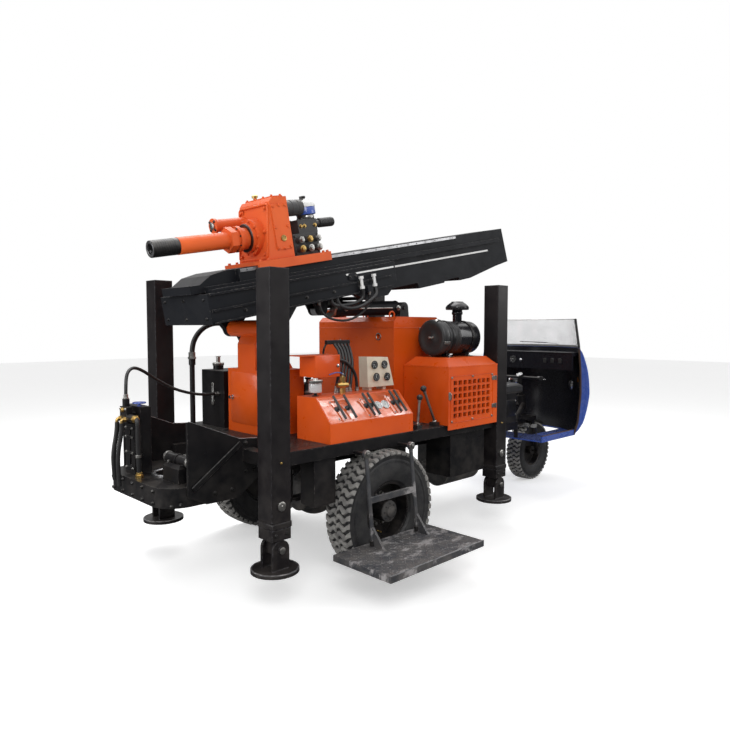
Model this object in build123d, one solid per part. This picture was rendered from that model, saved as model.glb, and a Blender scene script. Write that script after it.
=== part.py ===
"""Three-wheeled water well drilling rig, mast laid down over the deck.

Vehicle frame used while building: x forward from the rear legs' axis, y to the left from the
centreline, z up from the floor, all in millimetres. Each piece is moved once, when it is
written, so that the origin lies on the floor under the middle of the whole rig's box.
"""
import os
from math import atan2, cos, pi, radians, sin, tan

from build123d import *

os.makedirs("parts", exist_ok=True)

# Overall box, from the table's rear lip to the nose and from the step's edge to the left tyre
REAR_END = -560.0
FRONT_END = 4420.0
STEP_EDGE_Y = -1370.0

# Clearances
SEAT_GAP = 0.3
SLIDE_GAP = 2.0
RUN_GAP = 6.0
PIN_GAP = 0.3

# Legs: tall square sleeves, one at each corner of the deck
LEG_REAR_X = 0.0
LEG_FRONT_X = 2310.0
LEG_Y = 725.0
LEG_TUBE = 140.0
LEG_WALL = 6.0
LEG_TOP_Z = 2060.0
LEG_SLEEVE_Z = 500.0
LEG_INNER_TOP_Z = 1900.0
LEG_CAP = 8.0
SHOE_H = 68.0
PAD_R = 149.0
PAD_T = 22.0
PAD_BOTTOM_Z = 228.0
PAD_EAR_T = 18.0
PAD_EAR_R = 62.0
PAD_PIN_R = 20.0

# Wheels
TYRE_R = 430.0
TYRE_W = 220.0
REAR_AXLE_X = 907.0
REAR_WHEEL_Y = 740.0
RIM_R = 205.0
RIM_W = 150.0
HUB_R = 75.0
LUG_H = 14.0
LUG_COUNT = 30
FRONT_WHEEL_X = 4040.0
FRONT_TYRE_R = 325.0
FRONT_TYRE_W = 160.0
FRONT_RIM_R = 165.0
FRONT_RIM_W = 110.0
FRONT_HUB_R = 45.0
FRONT_LUG_COUNT = 30
FRONT_LUG_H = 8.0

# Chassis
DECK_Z = 950.0
DECK_T = 5.0
SIDE_RAIL_Y = 760.0
SIDE_RAIL_W = 60.0
SIDE_RAIL_H = 80.0
MAIN_RAIL_Y = 400.0
MAIN_RAIL_W = 60.0
MAIN_RAIL_H = 120.0
MAIN_RAIL_FRONT_X = 2600.0
CROSS_W = 80.0
CHANNEL_T = 8.0

# Mast, in its own frame: s along the mast, y across, n square to it
MAST_ANGLE = 10.9
MAST_FOOT_X = -160.0
MAST_FOOT_Z = 1722.0
TILT_W = 620.0
TILT_H = 195.0
TILT_LENGTH = 1720.0
TILT_PLATE = 55.0
TILT_END_PLATE = 16.0
BEAM_HALF_W = 190.0
BEAM_TOP_N = 320.0
BEAM_REAR_S = -40.0
BEAM_FRONT_S = 3450.0
BEAM_BELLY_S = 1780.0
BEAM_BELLY_N = -30.0
BEAM_WALL = 10.0
BEAM_RIBS = (310.0,)
PIVOT_X = 350.0
PIVOT_Z = 1700.0
PIVOT_PIN_R = 30.0
PIVOT_TUBE_R = 60.0
SPINDLE_N = 515.0
SPINDLE_TIP_S = -159.0

# Lift cylinder, from a bracket on the deck tank to the frame's ears
LIFT_FOOT_X = 1900.0
LIFT_FOOT_Z = 1880.0
LIFT_EYE_X = 950.0
LIFT_EYE_Z = 1850.0
LIFT_BARREL_R = 62.0
LIFT_ROD_SHOWN = 150.0
LIFT_ROD_R = 32.0
LIFT_EYE_R = 50.0
LIFT_EYE_W = 60.0
LIFT_PIN_R = 20.0


def block(x0, x1, y0, y1, z0, z1):
    """Box between two values on each axis."""
    centre = ((x0 + x1) / 2, (y0 + y1) / 2, (z0 + z1) / 2)
    return Pos(*centre) * Box(abs(x1 - x0), abs(y1 - y0), abs(z1 - z0))


def bar(start, end, radius):
    """Round bar from one point to another."""
    path = Vector(*end) - Vector(*start)
    place = Plane(origin=start, z_dir=path)
    align = (Align.CENTER, Align.CENTER, Align.MIN)
    return place.location * Cylinder(radius, path.length, align=align)


def side_profile(points, y0, y1):
    """Polygon of x and z values, carried across from y0 to y1."""
    face = make_face(Polyline(*[(x, 0, z) for x, z in points], close=True))
    low, high = sorted((y0, y1))
    return Pos(0, low, 0) * extrude(face, amount=high - low, dir=(0, 1, 0))


def square_tube(x, y, z0, z1, side, wall):
    """Upright square tube, open at both ends."""
    half = side / 2
    hole = half - wall
    outer = block(x - half, x + half, y - half, y + half, z0, z1)
    inner = block(x - hole, x + hole, y - hole, y + hole, z0 - 1, z1 + 1)
    return outer - inner


def mirrored(shape):
    """The same piece on the other side of the centreline."""
    return mirror(shape, about=Plane.XZ)


def both_sides(shape):
    """A piece and its twin as one compound of solids that don't touch."""
    return Compound(children=[shape, mirrored(shape)])


def group(*shapes):
    """Several solids in one node."""
    solids = []
    for shape in shapes:
        solids.extend(shape.solids())
    return Compound(children=solids)


HOSE_BEND = 0.45


def hose(points, radius):
    """Tube along straight runs joined by the widest arcs that the runs allow."""
    line = [Vector(*point) for point in points]
    bends = []
    for before, corner, after in zip(line, line[1:], line[2:]):
        coming = corner - before
        going = after - corner
        turn = radians(coming.get_angle(going))
        bends.append(HOSE_BEND * min(coming.length, going.length) / tan(turn / 2))
    path = Wire(FilletPolyline(*line, radius=bends).edges())
    start = Plane(origin=line[0], z_dir=line[1] - line[0])
    tube = sweep(start.location * Circle(radius), path=path)
    filled = tube.volume / (pi * radius ** 2 * path.length)
    print("hose of", 2 * radius, "length", round(path.length), "filled", round(filled, 4),
          "bends", [round(bend) for bend in bends])
    return tube


MAST = Plane(
    origin=(MAST_FOOT_X, 0, MAST_FOOT_Z),
    x_dir=(cos(radians(MAST_ANGLE)), 0, sin(radians(MAST_ANGLE))),
    z_dir=(-sin(radians(MAST_ANGLE)), 0, cos(radians(MAST_ANGLE))),
)


def on_mast(shape):
    """Put a piece that was made in the mast's frame where the mast lies."""
    return MAST.location * shape


def to_mast(x, z):
    """Mast values s and n of a point of the vehicle's middle plane."""
    dx = x - MAST_FOOT_X
    dz = z - MAST_FOOT_Z
    angle = radians(MAST_ANGLE)
    return dx * cos(angle) + dz * sin(angle), dz * cos(angle) - dx * sin(angle)


NODES = {}


def node(name, shape):
    """Keep one named piece for export."""
    NODES[name] = shape


# Chassis
rail_bottom = DECK_Z - DECK_T - SIDE_RAIL_H
main_bottom = rail_bottom - MAIN_RAIL_H
leg_half = LEG_TUBE / 2
rail_in_y = SIDE_RAIL_Y - SIDE_RAIL_W


STEP_BAR_X = (630.0, 1067.0)
STEP_EYE_Z = rail_bottom + 12
STEP_EYE_Y = -875.0
STEP_PIN_R = 12.0
STEP_PIN_OUT = 22.0


def side_rails():
    """Two channels between the legs, their open side inwards."""
    x0 = LEG_REAR_X + leg_half
    x1 = LEG_FRONT_X - leg_half
    top = DECK_Z - DECK_T
    rail = block(x0, x1, rail_in_y, SIDE_RAIL_Y, rail_bottom, top)
    hollow = block(x0 - 1, x1 + 1, rail_in_y - 1, SIDE_RAIL_Y - CHANNEL_T,
                   rail_bottom + CHANNEL_T, top - CHANNEL_T)
    left = rail - hollow
    right = mirrored(left)
    for x in STEP_BAR_X:
        right += bar((x, -SIDE_RAIL_Y, STEP_EYE_Z), (x, STEP_EYE_Y - STEP_PIN_OUT, STEP_EYE_Z),
                     STEP_PIN_R)
    return group(left, right)


def main_rails():
    """Two deep rails under the deck, from the table to the front section."""
    x0 = LEG_REAR_X - leg_half
    half = MAIN_RAIL_W / 2
    rail = block(x0, MAIN_RAIL_FRONT_X, MAIN_RAIL_Y - half, MAIN_RAIL_Y + half,
                 main_bottom, rail_bottom)
    return both_sides(rail)


# Middle of each cross member along the rig, and its half length across
CROSS_MEMBERS = [
    (LEG_REAR_X + leg_half + CROSS_W / 2 + 40, rail_in_y),
    (620.0, rail_in_y),
    (1200.0, rail_in_y),
    (1750.0, rail_in_y),
    (LEG_FRONT_X, LEG_Y - leg_half),
]


def cross_members():
    """Box beams across the main rails, which the deck plate lies on."""
    beams = []
    for x, reach in CROSS_MEMBERS:
        beams.append(block(x - CROSS_W / 2, x + CROSS_W / 2, -reach, reach,
                           rail_bottom, DECK_Z - DECK_T))
    return group(*beams)


def deck_plate():
    """Floor of the deck, cut back round the legs and open behind for the mast's foot."""
    z0 = DECK_Z - DECK_T
    middle = block(LEG_REAR_X + leg_half, LEG_FRONT_X - leg_half, -SIDE_RAIL_Y, SIDE_RAIL_Y,
                   z0, DECK_Z)
    front = block(LEG_FRONT_X - leg_half, LEG_FRONT_X + leg_half, -(LEG_Y - leg_half),
                  LEG_Y - leg_half, z0, DECK_Z)
    return middle + front


def leg_sleeves():
    """Four square tubes with closed tops."""
    tubes = []
    for x in (LEG_REAR_X, LEG_FRONT_X):
        for side in (-1, 1):
            y = side * LEG_Y
            tube = square_tube(x, y, LEG_SLEEVE_Z, LEG_TOP_Z - LEG_CAP, LEG_TUBE, LEG_WALL)
            cap = block(x - leg_half, x + leg_half, y - leg_half, y + leg_half,
                        LEG_TOP_Z - LEG_CAP, LEG_TOP_Z)
            tubes.append(tube + cap)
    return group(*tubes)


def leg_foot(x, side):
    """Inner leg, its shoe, the two ears and the round pad under them."""
    y = side * LEG_Y
    half = leg_half - LEG_WALL - SLIDE_GAP
    shoe_top = LEG_SLEEVE_Z - SEAT_GAP
    shoe_bottom = shoe_top - SHOE_H
    inner = square_tube(x, y, shoe_top, LEG_INNER_TOP_Z, 2 * half, LEG_WALL)
    shoe = block(x - leg_half, x + leg_half, y - leg_half, y + leg_half, shoe_bottom, shoe_top)
    pin_z = shoe_bottom - PAD_EAR_R
    tongue = block(x - 30, x + 30, y - 45, y + 45, pin_z - 30, shoe_bottom)
    foot = inner + shoe + tongue
    for face in (-1, 1):
        inner_y = y + face * (45 + PIN_GAP)
        outer_y = y + face * (45 + PIN_GAP + PAD_EAR_T)
        ear = block(x - PAD_EAR_R, x + PAD_EAR_R, inner_y, outer_y, PAD_BOTTOM_Z + PAD_T, pin_z)
        ear += bar((x, inner_y, pin_z), (x, outer_y, pin_z), PAD_EAR_R)
        foot += ear
    foot += bar((x, y - 75, pin_z), (x, y + 75, pin_z), PAD_PIN_R)
    foot += bar((x, y, PAD_BOTTOM_Z), (x, y, PAD_BOTTOM_Z + PAD_T), PAD_R)
    return foot


# Rear drilling table
TABLE_HOLE_X = PIVOT_X - (SPINDLE_N - to_mast(PIVOT_X, PIVOT_Z)[1])
TABLE_TOP_Z = 760.0
TABLE_BOTTOM_Z = 640.0
TABLE_HALF_W = MAIN_RAIL_Y + MAIN_RAIL_W / 2
TABLE_HOLE_R = 110.0
TABLE_CORNER = 170.0


def rear_table():
    """Table at the rear that the drill string passes through, with rounded rear corners."""
    x0 = REAR_END
    x1 = LEG_REAR_X - leg_half
    plate = block(x0, x1, -TABLE_HALF_W, TABLE_HALF_W, TABLE_BOTTOM_Z, TABLE_TOP_Z)
    corners = plate.edges().filter_by(Axis.Z).group_by(Axis.X)[0]
    plate = fillet(corners, TABLE_CORNER)
    centre = (TABLE_HOLE_X, 0)
    plate -= bar((*centre, TABLE_BOTTOM_Z - 1), (*centre, TABLE_TOP_Z + 1), TABLE_HOLE_R)
    return plate


def rear_gussets():
    """Side webs that carry the table from the rear legs."""
    x1 = LEG_REAR_X + leg_half
    y0 = TABLE_HALF_W
    y1 = y0 + 20
    web = side_profile([
        (x1, main_bottom),
        (x1, 1000),
        (-60, 1010),
        (-400, 1150),
        (-420, 1150),
        (-420, TABLE_TOP_Z - 60),
        (-300, TABLE_BOTTOM_Z),
        (-80, TABLE_BOTTOM_Z),
    ], y0, y1)
    beam = block(LEG_REAR_X - 40, LEG_REAR_X + 40, y1, LEG_Y - leg_half, rail_bottom, DECK_Z - DECK_T)
    webs = both_sides(web + beam)
    x, y, z = DROP_HOSE[0]
    fitting = block(x - 25, x + 25, y1, y + 22, z, z + 45)
    return group(*[web + fitting if web.center().Y > 0 else web for web in webs.solids()])


def rear_column():
    """Black box column with a slotted channel, at the table's rear left corner."""
    column = block(-470, -400, 60, 300, TABLE_TOP_Z, 1200)
    channel = block(-500, -470, 90, 230, TABLE_TOP_Z, 1090)
    channel -= block(-505, -465, 140, 165, TABLE_TOP_Z + 60, 1050)
    return column + channel + rear_valve()


CLAMP_BLOCK = (-420.0, -140.0, -330.0, -130.0)
CLAMP_H = 110.0
CLAMP_CYLINDER_R = 32.0


def break_out_clamp():
    """Jaw block on the table with its two cylinders."""
    x0, x1, y0, y1 = CLAMP_BLOCK
    jaw = block(x0, x1, y0, y1, TABLE_TOP_Z, TABLE_TOP_Z + CLAMP_H)
    jaw = chamfer(jaw.edges().group_by(Axis.Z)[-1], 20)
    z = TABLE_TOP_Z + CLAMP_H + 20
    for x in (x0 + 60, x1 - 60):
        jaw += bar((x, y0 - 30, z), (x, y1 + 30, z), CLAMP_CYLINDER_R)
    return jaw


def rear_valve():
    """Air valve body with its two ports, on the column's outer face."""
    body = block(-540, -500, 110, 210, 1095, 1200)
    body += bar((-520, 160, 1150), (-520, 160, 1250), 22)
    body += bar((-520, 110, 1130), (-520, 40, 1130), 24)
    body += block(-500, -470, 130, 190, 1100, 1160)
    return body


# Tower that carries the mast's pivot
TOWER_X0 = 290.0
TOWER_X1 = 620.0
TOWER_HALF_W = 240.0
TOWER_STEP_Z = 1410.0
TOWER_HEAD_HALF_W = 110.0


def mast_tower():
    """Orange cabinet with a narrower head and the pivot's cross tube."""
    tower = block(TOWER_X0, TOWER_X1, -TOWER_HALF_W, TOWER_HALF_W, DECK_Z, TOWER_STEP_Z)
    head = side_profile([
        (TOWER_X0, TOWER_STEP_Z),
        (TOWER_X0, PIVOT_Z - 110),
        (PIVOT_X, PIVOT_Z),
        (PIVOT_X + 80, PIVOT_Z),
        (TOWER_X1, TOWER_STEP_Z),
    ], -TOWER_HEAD_HALF_W, TOWER_HEAD_HALF_W)
    reach = TILT_W / 2 - TILT_PLATE - SEAT_GAP
    tube = bar((PIVOT_X, -reach, PIVOT_Z), (PIVOT_X, reach, PIVOT_Z), PIVOT_TUBE_R)
    tower = tower + head + tube
    hole = bar((PIVOT_X, -TILT_W, PIVOT_Z), (PIVOT_X, TILT_W, PIVOT_Z), PIVOT_PIN_R + 0.1)
    return tower - hole


# Lines that stand out along the frame's sides, from n to n
TILT_RIDGES = ((2.0, 12.0), (80.0, 92.0), (181.0, 193.0))
TILT_RIDGE_T = 14.0
LUG_REACH = 110.0

# Hose that sags under the frame, as s, y and n
MAST_HOSE_R = 9.0
MAST_HOSE = [
    (1370, -336, 0),
    (1370, -336, -50),
    (1343.7, -335, -99.4),
    (1275, -329, -149.4),
    (1134.5, -315, -184.4),
    (994, -300, -149.4),
    (925, -292, -99.4),
    (899, -290, -50),
    (899, -290, 0),
]


def tilt_frame():
    """Open frame that tips the mast: two deep side plates, an end plate and pivot ears."""
    half = TILT_W / 2
    inner = half - TILT_PLATE
    outline = [
        (0, 0),
        (1250, 0),
        (1350, -60),
        (1600, -60),
        (TILT_LENGTH, 30),
        (TILT_LENGTH, TILT_H),
        (0, TILT_H),
    ]
    plates = side_profile(outline, inner, half)
    for n0, n1 in TILT_RIDGES:
        plates += block(TILT_END_PLATE, TILT_LENGTH - 60, half, half + TILT_RIDGE_T, n0, n1)
    pivot_s, pivot_n = to_mast(PIVOT_X, PIVOT_Z)
    ear = side_profile([
        (pivot_s - 130, 0),
        (pivot_s - PIVOT_TUBE_R, pivot_n),
        (pivot_s + PIVOT_TUBE_R, pivot_n),
        (pivot_s + 180, 0),
    ], inner, half)
    ear += bar((pivot_s, inner, pivot_n), (pivot_s, half, pivot_n), PIVOT_TUBE_R)
    plates += ear
    frame = plates + mirrored(plates)
    frame += block(0, TILT_END_PLATE, -half, half, 0, TILT_H)
    frame += block(200, 280, -inner, inner, 20, 60)
    frame += block(1360, 1440, -inner, inner, -60, -40)
    eye_s, eye_n = to_mast(LIFT_EYE_X, LIFT_EYE_Z)
    ear_y = LIFT_EYE_W / 2 + RUN_GAP
    lug = side_profile([
        (eye_s - LUG_REACH, 60),
        (eye_s - LIFT_EYE_R, eye_n),
        (eye_s + LIFT_EYE_R, eye_n),
        (eye_s + 110, 60),
    ], ear_y, ear_y + 25)
    lug += bar((eye_s, ear_y, eye_n), (eye_s, ear_y + 25, eye_n), LIFT_EYE_R)
    lug += block(eye_s - 60, eye_s + 60, ear_y, inner, 40, 60)
    frame += lug + mirrored(lug)
    pin_y = half + TILT_RIDGE_T + 10
    pin = bar((pivot_s, -pin_y, pivot_n), (pivot_s, pin_y, pivot_n), PIVOT_PIN_R)
    s0, y0, n0 = MAST_HOSE[0]
    fitting = block(s0 - 25, s0 + 25, y0 - 20, -half, n0, n0 + 50)
    return on_mast(frame + pin + fitting)


def mast_beam():
    """Long box mast with a chamfered foot, side guides and a deep front part."""
    half = BEAM_HALF_W
    outline = [
        (BEAM_REAR_S, TILT_H + SEAT_GAP + 5),
        (BEAM_REAR_S, 255),
        (30, 252),
        (118, 302),
        (235, BEAM_TOP_N),
        (BEAM_FRONT_S, BEAM_TOP_N),
        (BEAM_FRONT_S + 60, -10),
        (3300, BEAM_BELLY_N),
        (2860, -90),
        (2700, -90),
        (2690, -60),
        (2480, -60),
        (2470, -80),
        (2120, -80),
        (2110, BEAM_BELLY_N),
        (BEAM_BELLY_S, BEAM_BELLY_N),
        (BEAM_BELLY_S, TILT_H + SEAT_GAP + 5),
    ]
    beam = side_profile(outline, -half, half)
    for side in (-1, 1):
        y0 = side * half
        y1 = side * (half + 45)
        guide = block(60, BEAM_FRONT_S - 120, y0, y1, TILT_H + SEAT_GAP + 5, TILT_H + 40)
        beam += guide
        skid = block(60, TILT_LENGTH - 40, y0, side * (TILT_W / 2 - 10),
                     TILT_H + SEAT_GAP, TILT_H + 20)
        beam += skid
        for rib_s in BEAM_RIBS:
            beam += block(rib_s, rib_s + 14, y0, side * (half + 38), TILT_H + 40, BEAM_TOP_N)
    wall = BEAM_WALL
    low = TILT_H + SEAT_GAP + 5 + wall
    beam -= block(250, BEAM_FRONT_S + 100, wall - half, half - wall, low, BEAM_TOP_N - wall)
    beam -= block(BEAM_BELLY_S + wall, BEAM_FRONT_S + 100, wall - half, half - wall,
                  BEAM_BELLY_N + wall, low + 1)
    return on_mast(beam)


# Rotary head
CARRIAGE_S0 = 490.0
CARRIAGE_S1 = 1150.0
CARRIAGE_HALF_W = 215.0
CARRIAGE_T = 24.0
HEAD_BASE_N = BEAM_TOP_N + SEAT_GAP + CARRIAGE_T
GEARBOX_FOOT_S = 601.0
GEARBOX_TOP_S = 682.0
GEARBOX_S1 = 830.0
GEARBOX_HALF_W = 185.0
GEARBOX_TOP_N = 767.0
GEARBOX_LID_T = 10.0
BOSS_S = 588.0
BOSS_R = 128.0
BOSS_STEP_S = 560.0
BOSS_STEP_R = 104.0
STUB_Y = 120.0
STUB_N = 626.0
STUB_S = 392.0
STUB_R = 44.0
STUB_FLANGE_R = 53.0
SPINDLE_PIPE_R = 57.0
SPINDLE_NECK_R = 75.0
SPINDLE_FLANGE_R = 90.0
SAVER_R = 54.0
SAVER_L = 188.0
SPINDLE_BORE_R = 25.0
NECK_S = 404.0
MOTOR_FLANGE_R = 66.0
MOTOR_R = 55.0
MOTOR_L = 190.0
MOTOR_N = 690.0
MOTOR_Y = 85.0
VALVE_TOP_N = 500.0
MANIFOLD_TOP_N = 600.0
MANIFOLD_S1 = 1140.0
CUP_S = 1080.0
CUP_Y = -40.0
CUP_R = 50.0
SWIVEL_R = 32.0
SWIVEL_END_S = 1330.0


def carriage():
    """Orange sledge plate with turned-down sides that hold the mast's top."""
    n0 = BEAM_TOP_N + SEAT_GAP
    plate = block(CARRIAGE_S0, CARRIAGE_S1, -CARRIAGE_HALF_W, CARRIAGE_HALF_W, n0, n0 + CARRIAGE_T)
    for side in (-1, 1):
        y0 = side * (BEAM_HALF_W + RUN_GAP)
        plate += block(CARRIAGE_S0, CARRIAGE_S1, y0, side * CARRIAGE_HALF_W, n0 - 40, n0)
    return on_mast(plate)


def gearbox():
    """Tall gear case with a stepped bearing boss, a flanged stub beside it, a lid and a side cover."""
    half = GEARBOX_HALF_W
    case = side_profile([
        (GEARBOX_FOOT_S, HEAD_BASE_N),
        (GEARBOX_TOP_S, GEARBOX_TOP_N - 27),
        (GEARBOX_TOP_S + 25, GEARBOX_TOP_N),
        (GEARBOX_S1, GEARBOX_TOP_N),
        (GEARBOX_S1, HEAD_BASE_N),
    ], -half, half)
    case += block(GEARBOX_TOP_S + 40, GEARBOX_S1 - 12, 25 - half, half - 25, GEARBOX_TOP_N,
                  GEARBOX_TOP_N + GEARBOX_LID_T)
    for side in (-1, 1):
        case += block(GEARBOX_TOP_S, GEARBOX_S1 - 18, side * half, side * (half + 8),
                      HEAD_BASE_N + 60, GEARBOX_TOP_N - 50)
    case += bar((BOSS_S, 0, SPINDLE_N), (GEARBOX_TOP_S, 0, SPINDLE_N), BOSS_R)
    case += bar((BOSS_STEP_S, 0, SPINDLE_N), (BOSS_S, 0, SPINDLE_N), BOSS_STEP_R)
    case += bar((STUB_S + 18, STUB_Y, STUB_N), (GEARBOX_TOP_S, STUB_Y, STUB_N), STUB_R)
    case += bar((STUB_S, STUB_Y, STUB_N), (STUB_S + 18, STUB_Y, STUB_N), STUB_FLANGE_R)
    case -= bar((0, 0, SPINDLE_N), (2000, 0, SPINDLE_N), SPINDLE_NECK_R + SEAT_GAP)
    return on_mast(case)


def spindle():
    """Hollow drive shaft through the gear case, with its hexagon and its round flange."""
    tip = SPINDLE_TIP_S + SAVER_L
    shaft = bar((tip, 0, SPINDLE_N), (NECK_S + 10, 0, SPINDLE_N), SPINDLE_PIPE_R)
    shaft += bar((NECK_S + 30, 0, SPINDLE_N), (GEARBOX_S1 + 40, 0, SPINDLE_N), SPINDLE_NECK_R)
    hexagon = Plane(origin=(NECK_S, 0, SPINDLE_N), z_dir=(1, 0, 0))
    shaft += hexagon.location * extrude(RegularPolygon(SPINDLE_FLANGE_R, 6), amount=52)
    shaft += bar((NECK_S + 70, 0, SPINDLE_N), (NECK_S + 98, 0, SPINDLE_N), SPINDLE_FLANGE_R)
    shaft -= bar((-500, 0, SPINDLE_N), (2000, 0, SPINDLE_N), SPINDLE_BORE_R)
    return on_mast(shaft)


def saver_collar():
    """Black collar at the spindle's end that takes the drill pipe's thread."""
    collar = bar((SPINDLE_TIP_S, 0, SPINDLE_N), (SPINDLE_TIP_S + SAVER_L, 0, SPINDLE_N), SAVER_R)
    collar -= bar((-500, 0, SPINDLE_N), (SPINDLE_TIP_S + 90, 0, SPINDLE_N), 34)
    collar -= bar((-500, 0, SPINDLE_N), (500, 0, SPINDLE_N), SPINDLE_BORE_R)
    return on_mast(collar)


def head_motors():
    """Two motors on the gear case, an oil cup on the manifold and the swivel in front of it."""
    motors = []
    for y in (-MOTOR_Y, MOTOR_Y):
        body = bar((GEARBOX_S1, y, MOTOR_N), (GEARBOX_S1 + 40, y, MOTOR_N), MOTOR_FLANGE_R)
        body += bar((GEARBOX_S1 + 40, y, MOTOR_N), (GEARBOX_S1 + MOTOR_L, y, MOTOR_N), MOTOR_R)
        motors.append(body)
    cup = bar((CUP_S, CUP_Y, MANIFOLD_TOP_N), (CUP_S, CUP_Y, MANIFOLD_TOP_N + 100), CUP_R)
    dome = Cone(CUP_R + 6, 18, 52, align=(Align.CENTER, Align.CENTER, Align.MIN))
    cup += Pos(CUP_S, CUP_Y, MANIFOLD_TOP_N + 100) * dome
    cup += bar((CUP_S, CUP_Y, MANIFOLD_TOP_N + 150), (CUP_S, CUP_Y, MANIFOLD_TOP_N + 172), 11)
    swivel_n = MANIFOLD_TOP_N - 34
    swivel = bar((MANIFOLD_S1, -70, swivel_n), (SWIVEL_END_S, -70, swivel_n), SWIVEL_R - 8)
    swivel += bar((MANIFOLD_S1 + 50, -70, swivel_n), (SWIVEL_END_S - 30, -70, swivel_n), SWIVEL_R)
    return on_mast(group(*motors, cup, swivel))


VALVE_BLOCK = (880.0, 1120.0, -130.0, 90.0)
VALVE_PLUG_S = (920.0, 1000.0, 1080.0)
VALVE_PLUG_N = (45.0, 110.0)
VALVE_PLUG_R = 24.0
VALVE_PLUG_L = 35.0


def head_valve():
    """Silver valve block on the carriage with its six plugs, and the manifold on top."""
    s0, s1, y0, y1 = VALVE_BLOCK
    body = block(s0, s1, y0, y1, HEAD_BASE_N, VALVE_TOP_N)
    body += block(s0 + 80, MANIFOLD_S1, y0 + 20, y1 - 30, VALVE_TOP_N, MANIFOLD_TOP_N)
    for n in VALVE_PLUG_N:
        for s in VALVE_PLUG_S:
            body += bar((s, y0 - VALVE_PLUG_L, HEAD_BASE_N + n), (s, y0, HEAD_BASE_N + n), VALVE_PLUG_R)
    return on_mast(body)


# Lift cylinder
lift_dx = LIFT_EYE_X - LIFT_FOOT_X
lift_dz = LIFT_EYE_Z - LIFT_FOOT_Z
lift_length = (lift_dx ** 2 + lift_dz ** 2) ** 0.5
lift_barrel_end = lift_length - LIFT_ROD_SHOWN


def along_lift(distance, y=0.0):
    """Point on the cylinder's line, measured from its foot towards the rod's eye."""
    share = distance / lift_length
    return (LIFT_FOOT_X + lift_dx * share, y, LIFT_FOOT_Z + lift_dz * share)


def lift_barrel():
    """Cylinder barrel with its foot eye and gland."""
    barrel = bar(along_lift(75), along_lift(lift_barrel_end), LIFT_BARREL_R)
    barrel += bar(along_lift(25), along_lift(80), LIFT_EYE_W / 2 - 2)
    barrel += bar(along_lift(lift_barrel_end - 60), along_lift(lift_barrel_end), LIFT_BARREL_R + 6)
    half = LIFT_EYE_W / 2
    barrel += bar(along_lift(0, -half), along_lift(0, half), LIFT_EYE_R)
    barrel -= bar(along_lift(78), along_lift(lift_barrel_end + 1), LIFT_ROD_R + 0.1)
    barrel -= bar(along_lift(0, -half - 1), along_lift(0, half + 1), LIFT_PIN_R + 0.1)
    return barrel


def lift_rod():
    """Rod with its end eye."""
    rod = bar(along_lift(80), along_lift(lift_length - 30), LIFT_ROD_R)
    half = LIFT_EYE_W / 2
    rod += bar(along_lift(lift_length, -half), along_lift(lift_length, half), LIFT_EYE_R)
    rod -= bar(along_lift(lift_length, -half - 1), along_lift(lift_length, half + 1), LIFT_PIN_R)
    return rod


# Deck machinery
ENGINE_X1 = LEG_FRONT_X - 80
ENGINE_X0 = ENGINE_X1 - 170
BIG_TANK = (1470.0, ENGINE_X0 - 20, -330.0, 600.0)
BIG_TANK_TOP_Z = 1795.0
TANK_HOLE = (-157.0, 1633.0)
TANK_HOLE_R = 22.0


LIFT_EAR_T = 20.0
LIFT_EAR_R = 50.0


def lift_bracket():
    """Two ears on the tank's roof that hold the cylinder's foot pin."""
    z0 = BIG_TANK_TOP_Z
    inner = LIFT_EYE_W / 2 + PIN_GAP
    outer = inner + LIFT_EAR_T
    ear = side_profile([
        (LIFT_FOOT_X - LIFT_EAR_R - 10, z0),
        (LIFT_FOOT_X - LIFT_EAR_R, LIFT_FOOT_Z),
        (LIFT_FOOT_X + LIFT_EAR_R, LIFT_FOOT_Z),
        (LIFT_FOOT_X + LIFT_EAR_R + 10, z0),
    ], inner, outer)
    ear += bar((LIFT_FOOT_X, inner, LIFT_FOOT_Z), (LIFT_FOOT_X, outer, LIFT_FOOT_Z), LIFT_EAR_R)
    bracket = ear + mirrored(ear)
    reach = outer + 10
    bracket += bar((LIFT_FOOT_X, -reach, LIFT_FOOT_Z), (LIFT_FOOT_X, reach, LIFT_FOOT_Z), LIFT_PIN_R)
    return bracket


def deck_tank():
    """Big orange tank in the middle of the deck, with a round sight hole in its rear wall."""
    x0, x1, y0, y1 = BIG_TANK
    tank = block(x0, x1, y0, y1, DECK_Z, BIG_TANK_TOP_Z)
    tank = chamfer(tank.edges().filter_by(Axis.Y).group_by(Axis.Z)[-1], 40)
    y, z = TANK_HOLE
    tank -= bar((x0 - 1, y, z), (x0 + 30, y, z), TANK_HOLE_R)
    tank += bar((x0 + 150, y1 - 120, BIG_TANK_TOP_Z), (x0 + 150, y1 - 120, BIG_TANK_TOP_Z + 45), 55)
    return tank


CONSOLE_X0 = 425.0
CONSOLE_X1 = 1225.0
CONSOLE_BACK_Y = -408.0
PANEL_LOW = (-755.0, DECK_Z + 130)
PANEL_HIGH = (-605.0, DECK_Z + 292)


def console():
    """Orange console box with its sloping panel."""
    outline = [(PANEL_LOW[0], DECK_Z), PANEL_LOW, PANEL_HIGH, (CONSOLE_BACK_Y, PANEL_HIGH[1]),
               (CONSOLE_BACK_Y, DECK_Z)]
    face = make_face(Polyline(*[(CONSOLE_X0, y, z) for y, z in outline], close=True))
    return extrude(face, amount=CONSOLE_X1 - CONSOLE_X0, dir=(1, 0, 0))


LEVER_X = (545.0, 640.0, 815.0, 865.0, 1085.0, 1135.0)
LEVER_R = 9.0
LEVER_RISE = 34.0


def over_panel(share, rise):
    """Point y and z, a share of the way up the panel and raised square to it."""
    run = PANEL_HIGH[0] - PANEL_LOW[0]
    climb = PANEL_HIGH[1] - PANEL_LOW[1]
    slope = atan2(climb, run)
    y = PANEL_LOW[0] + share * run - rise * sin(slope)
    z = PANEL_LOW[1] + share * climb + rise * cos(slope)
    return y, z


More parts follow.
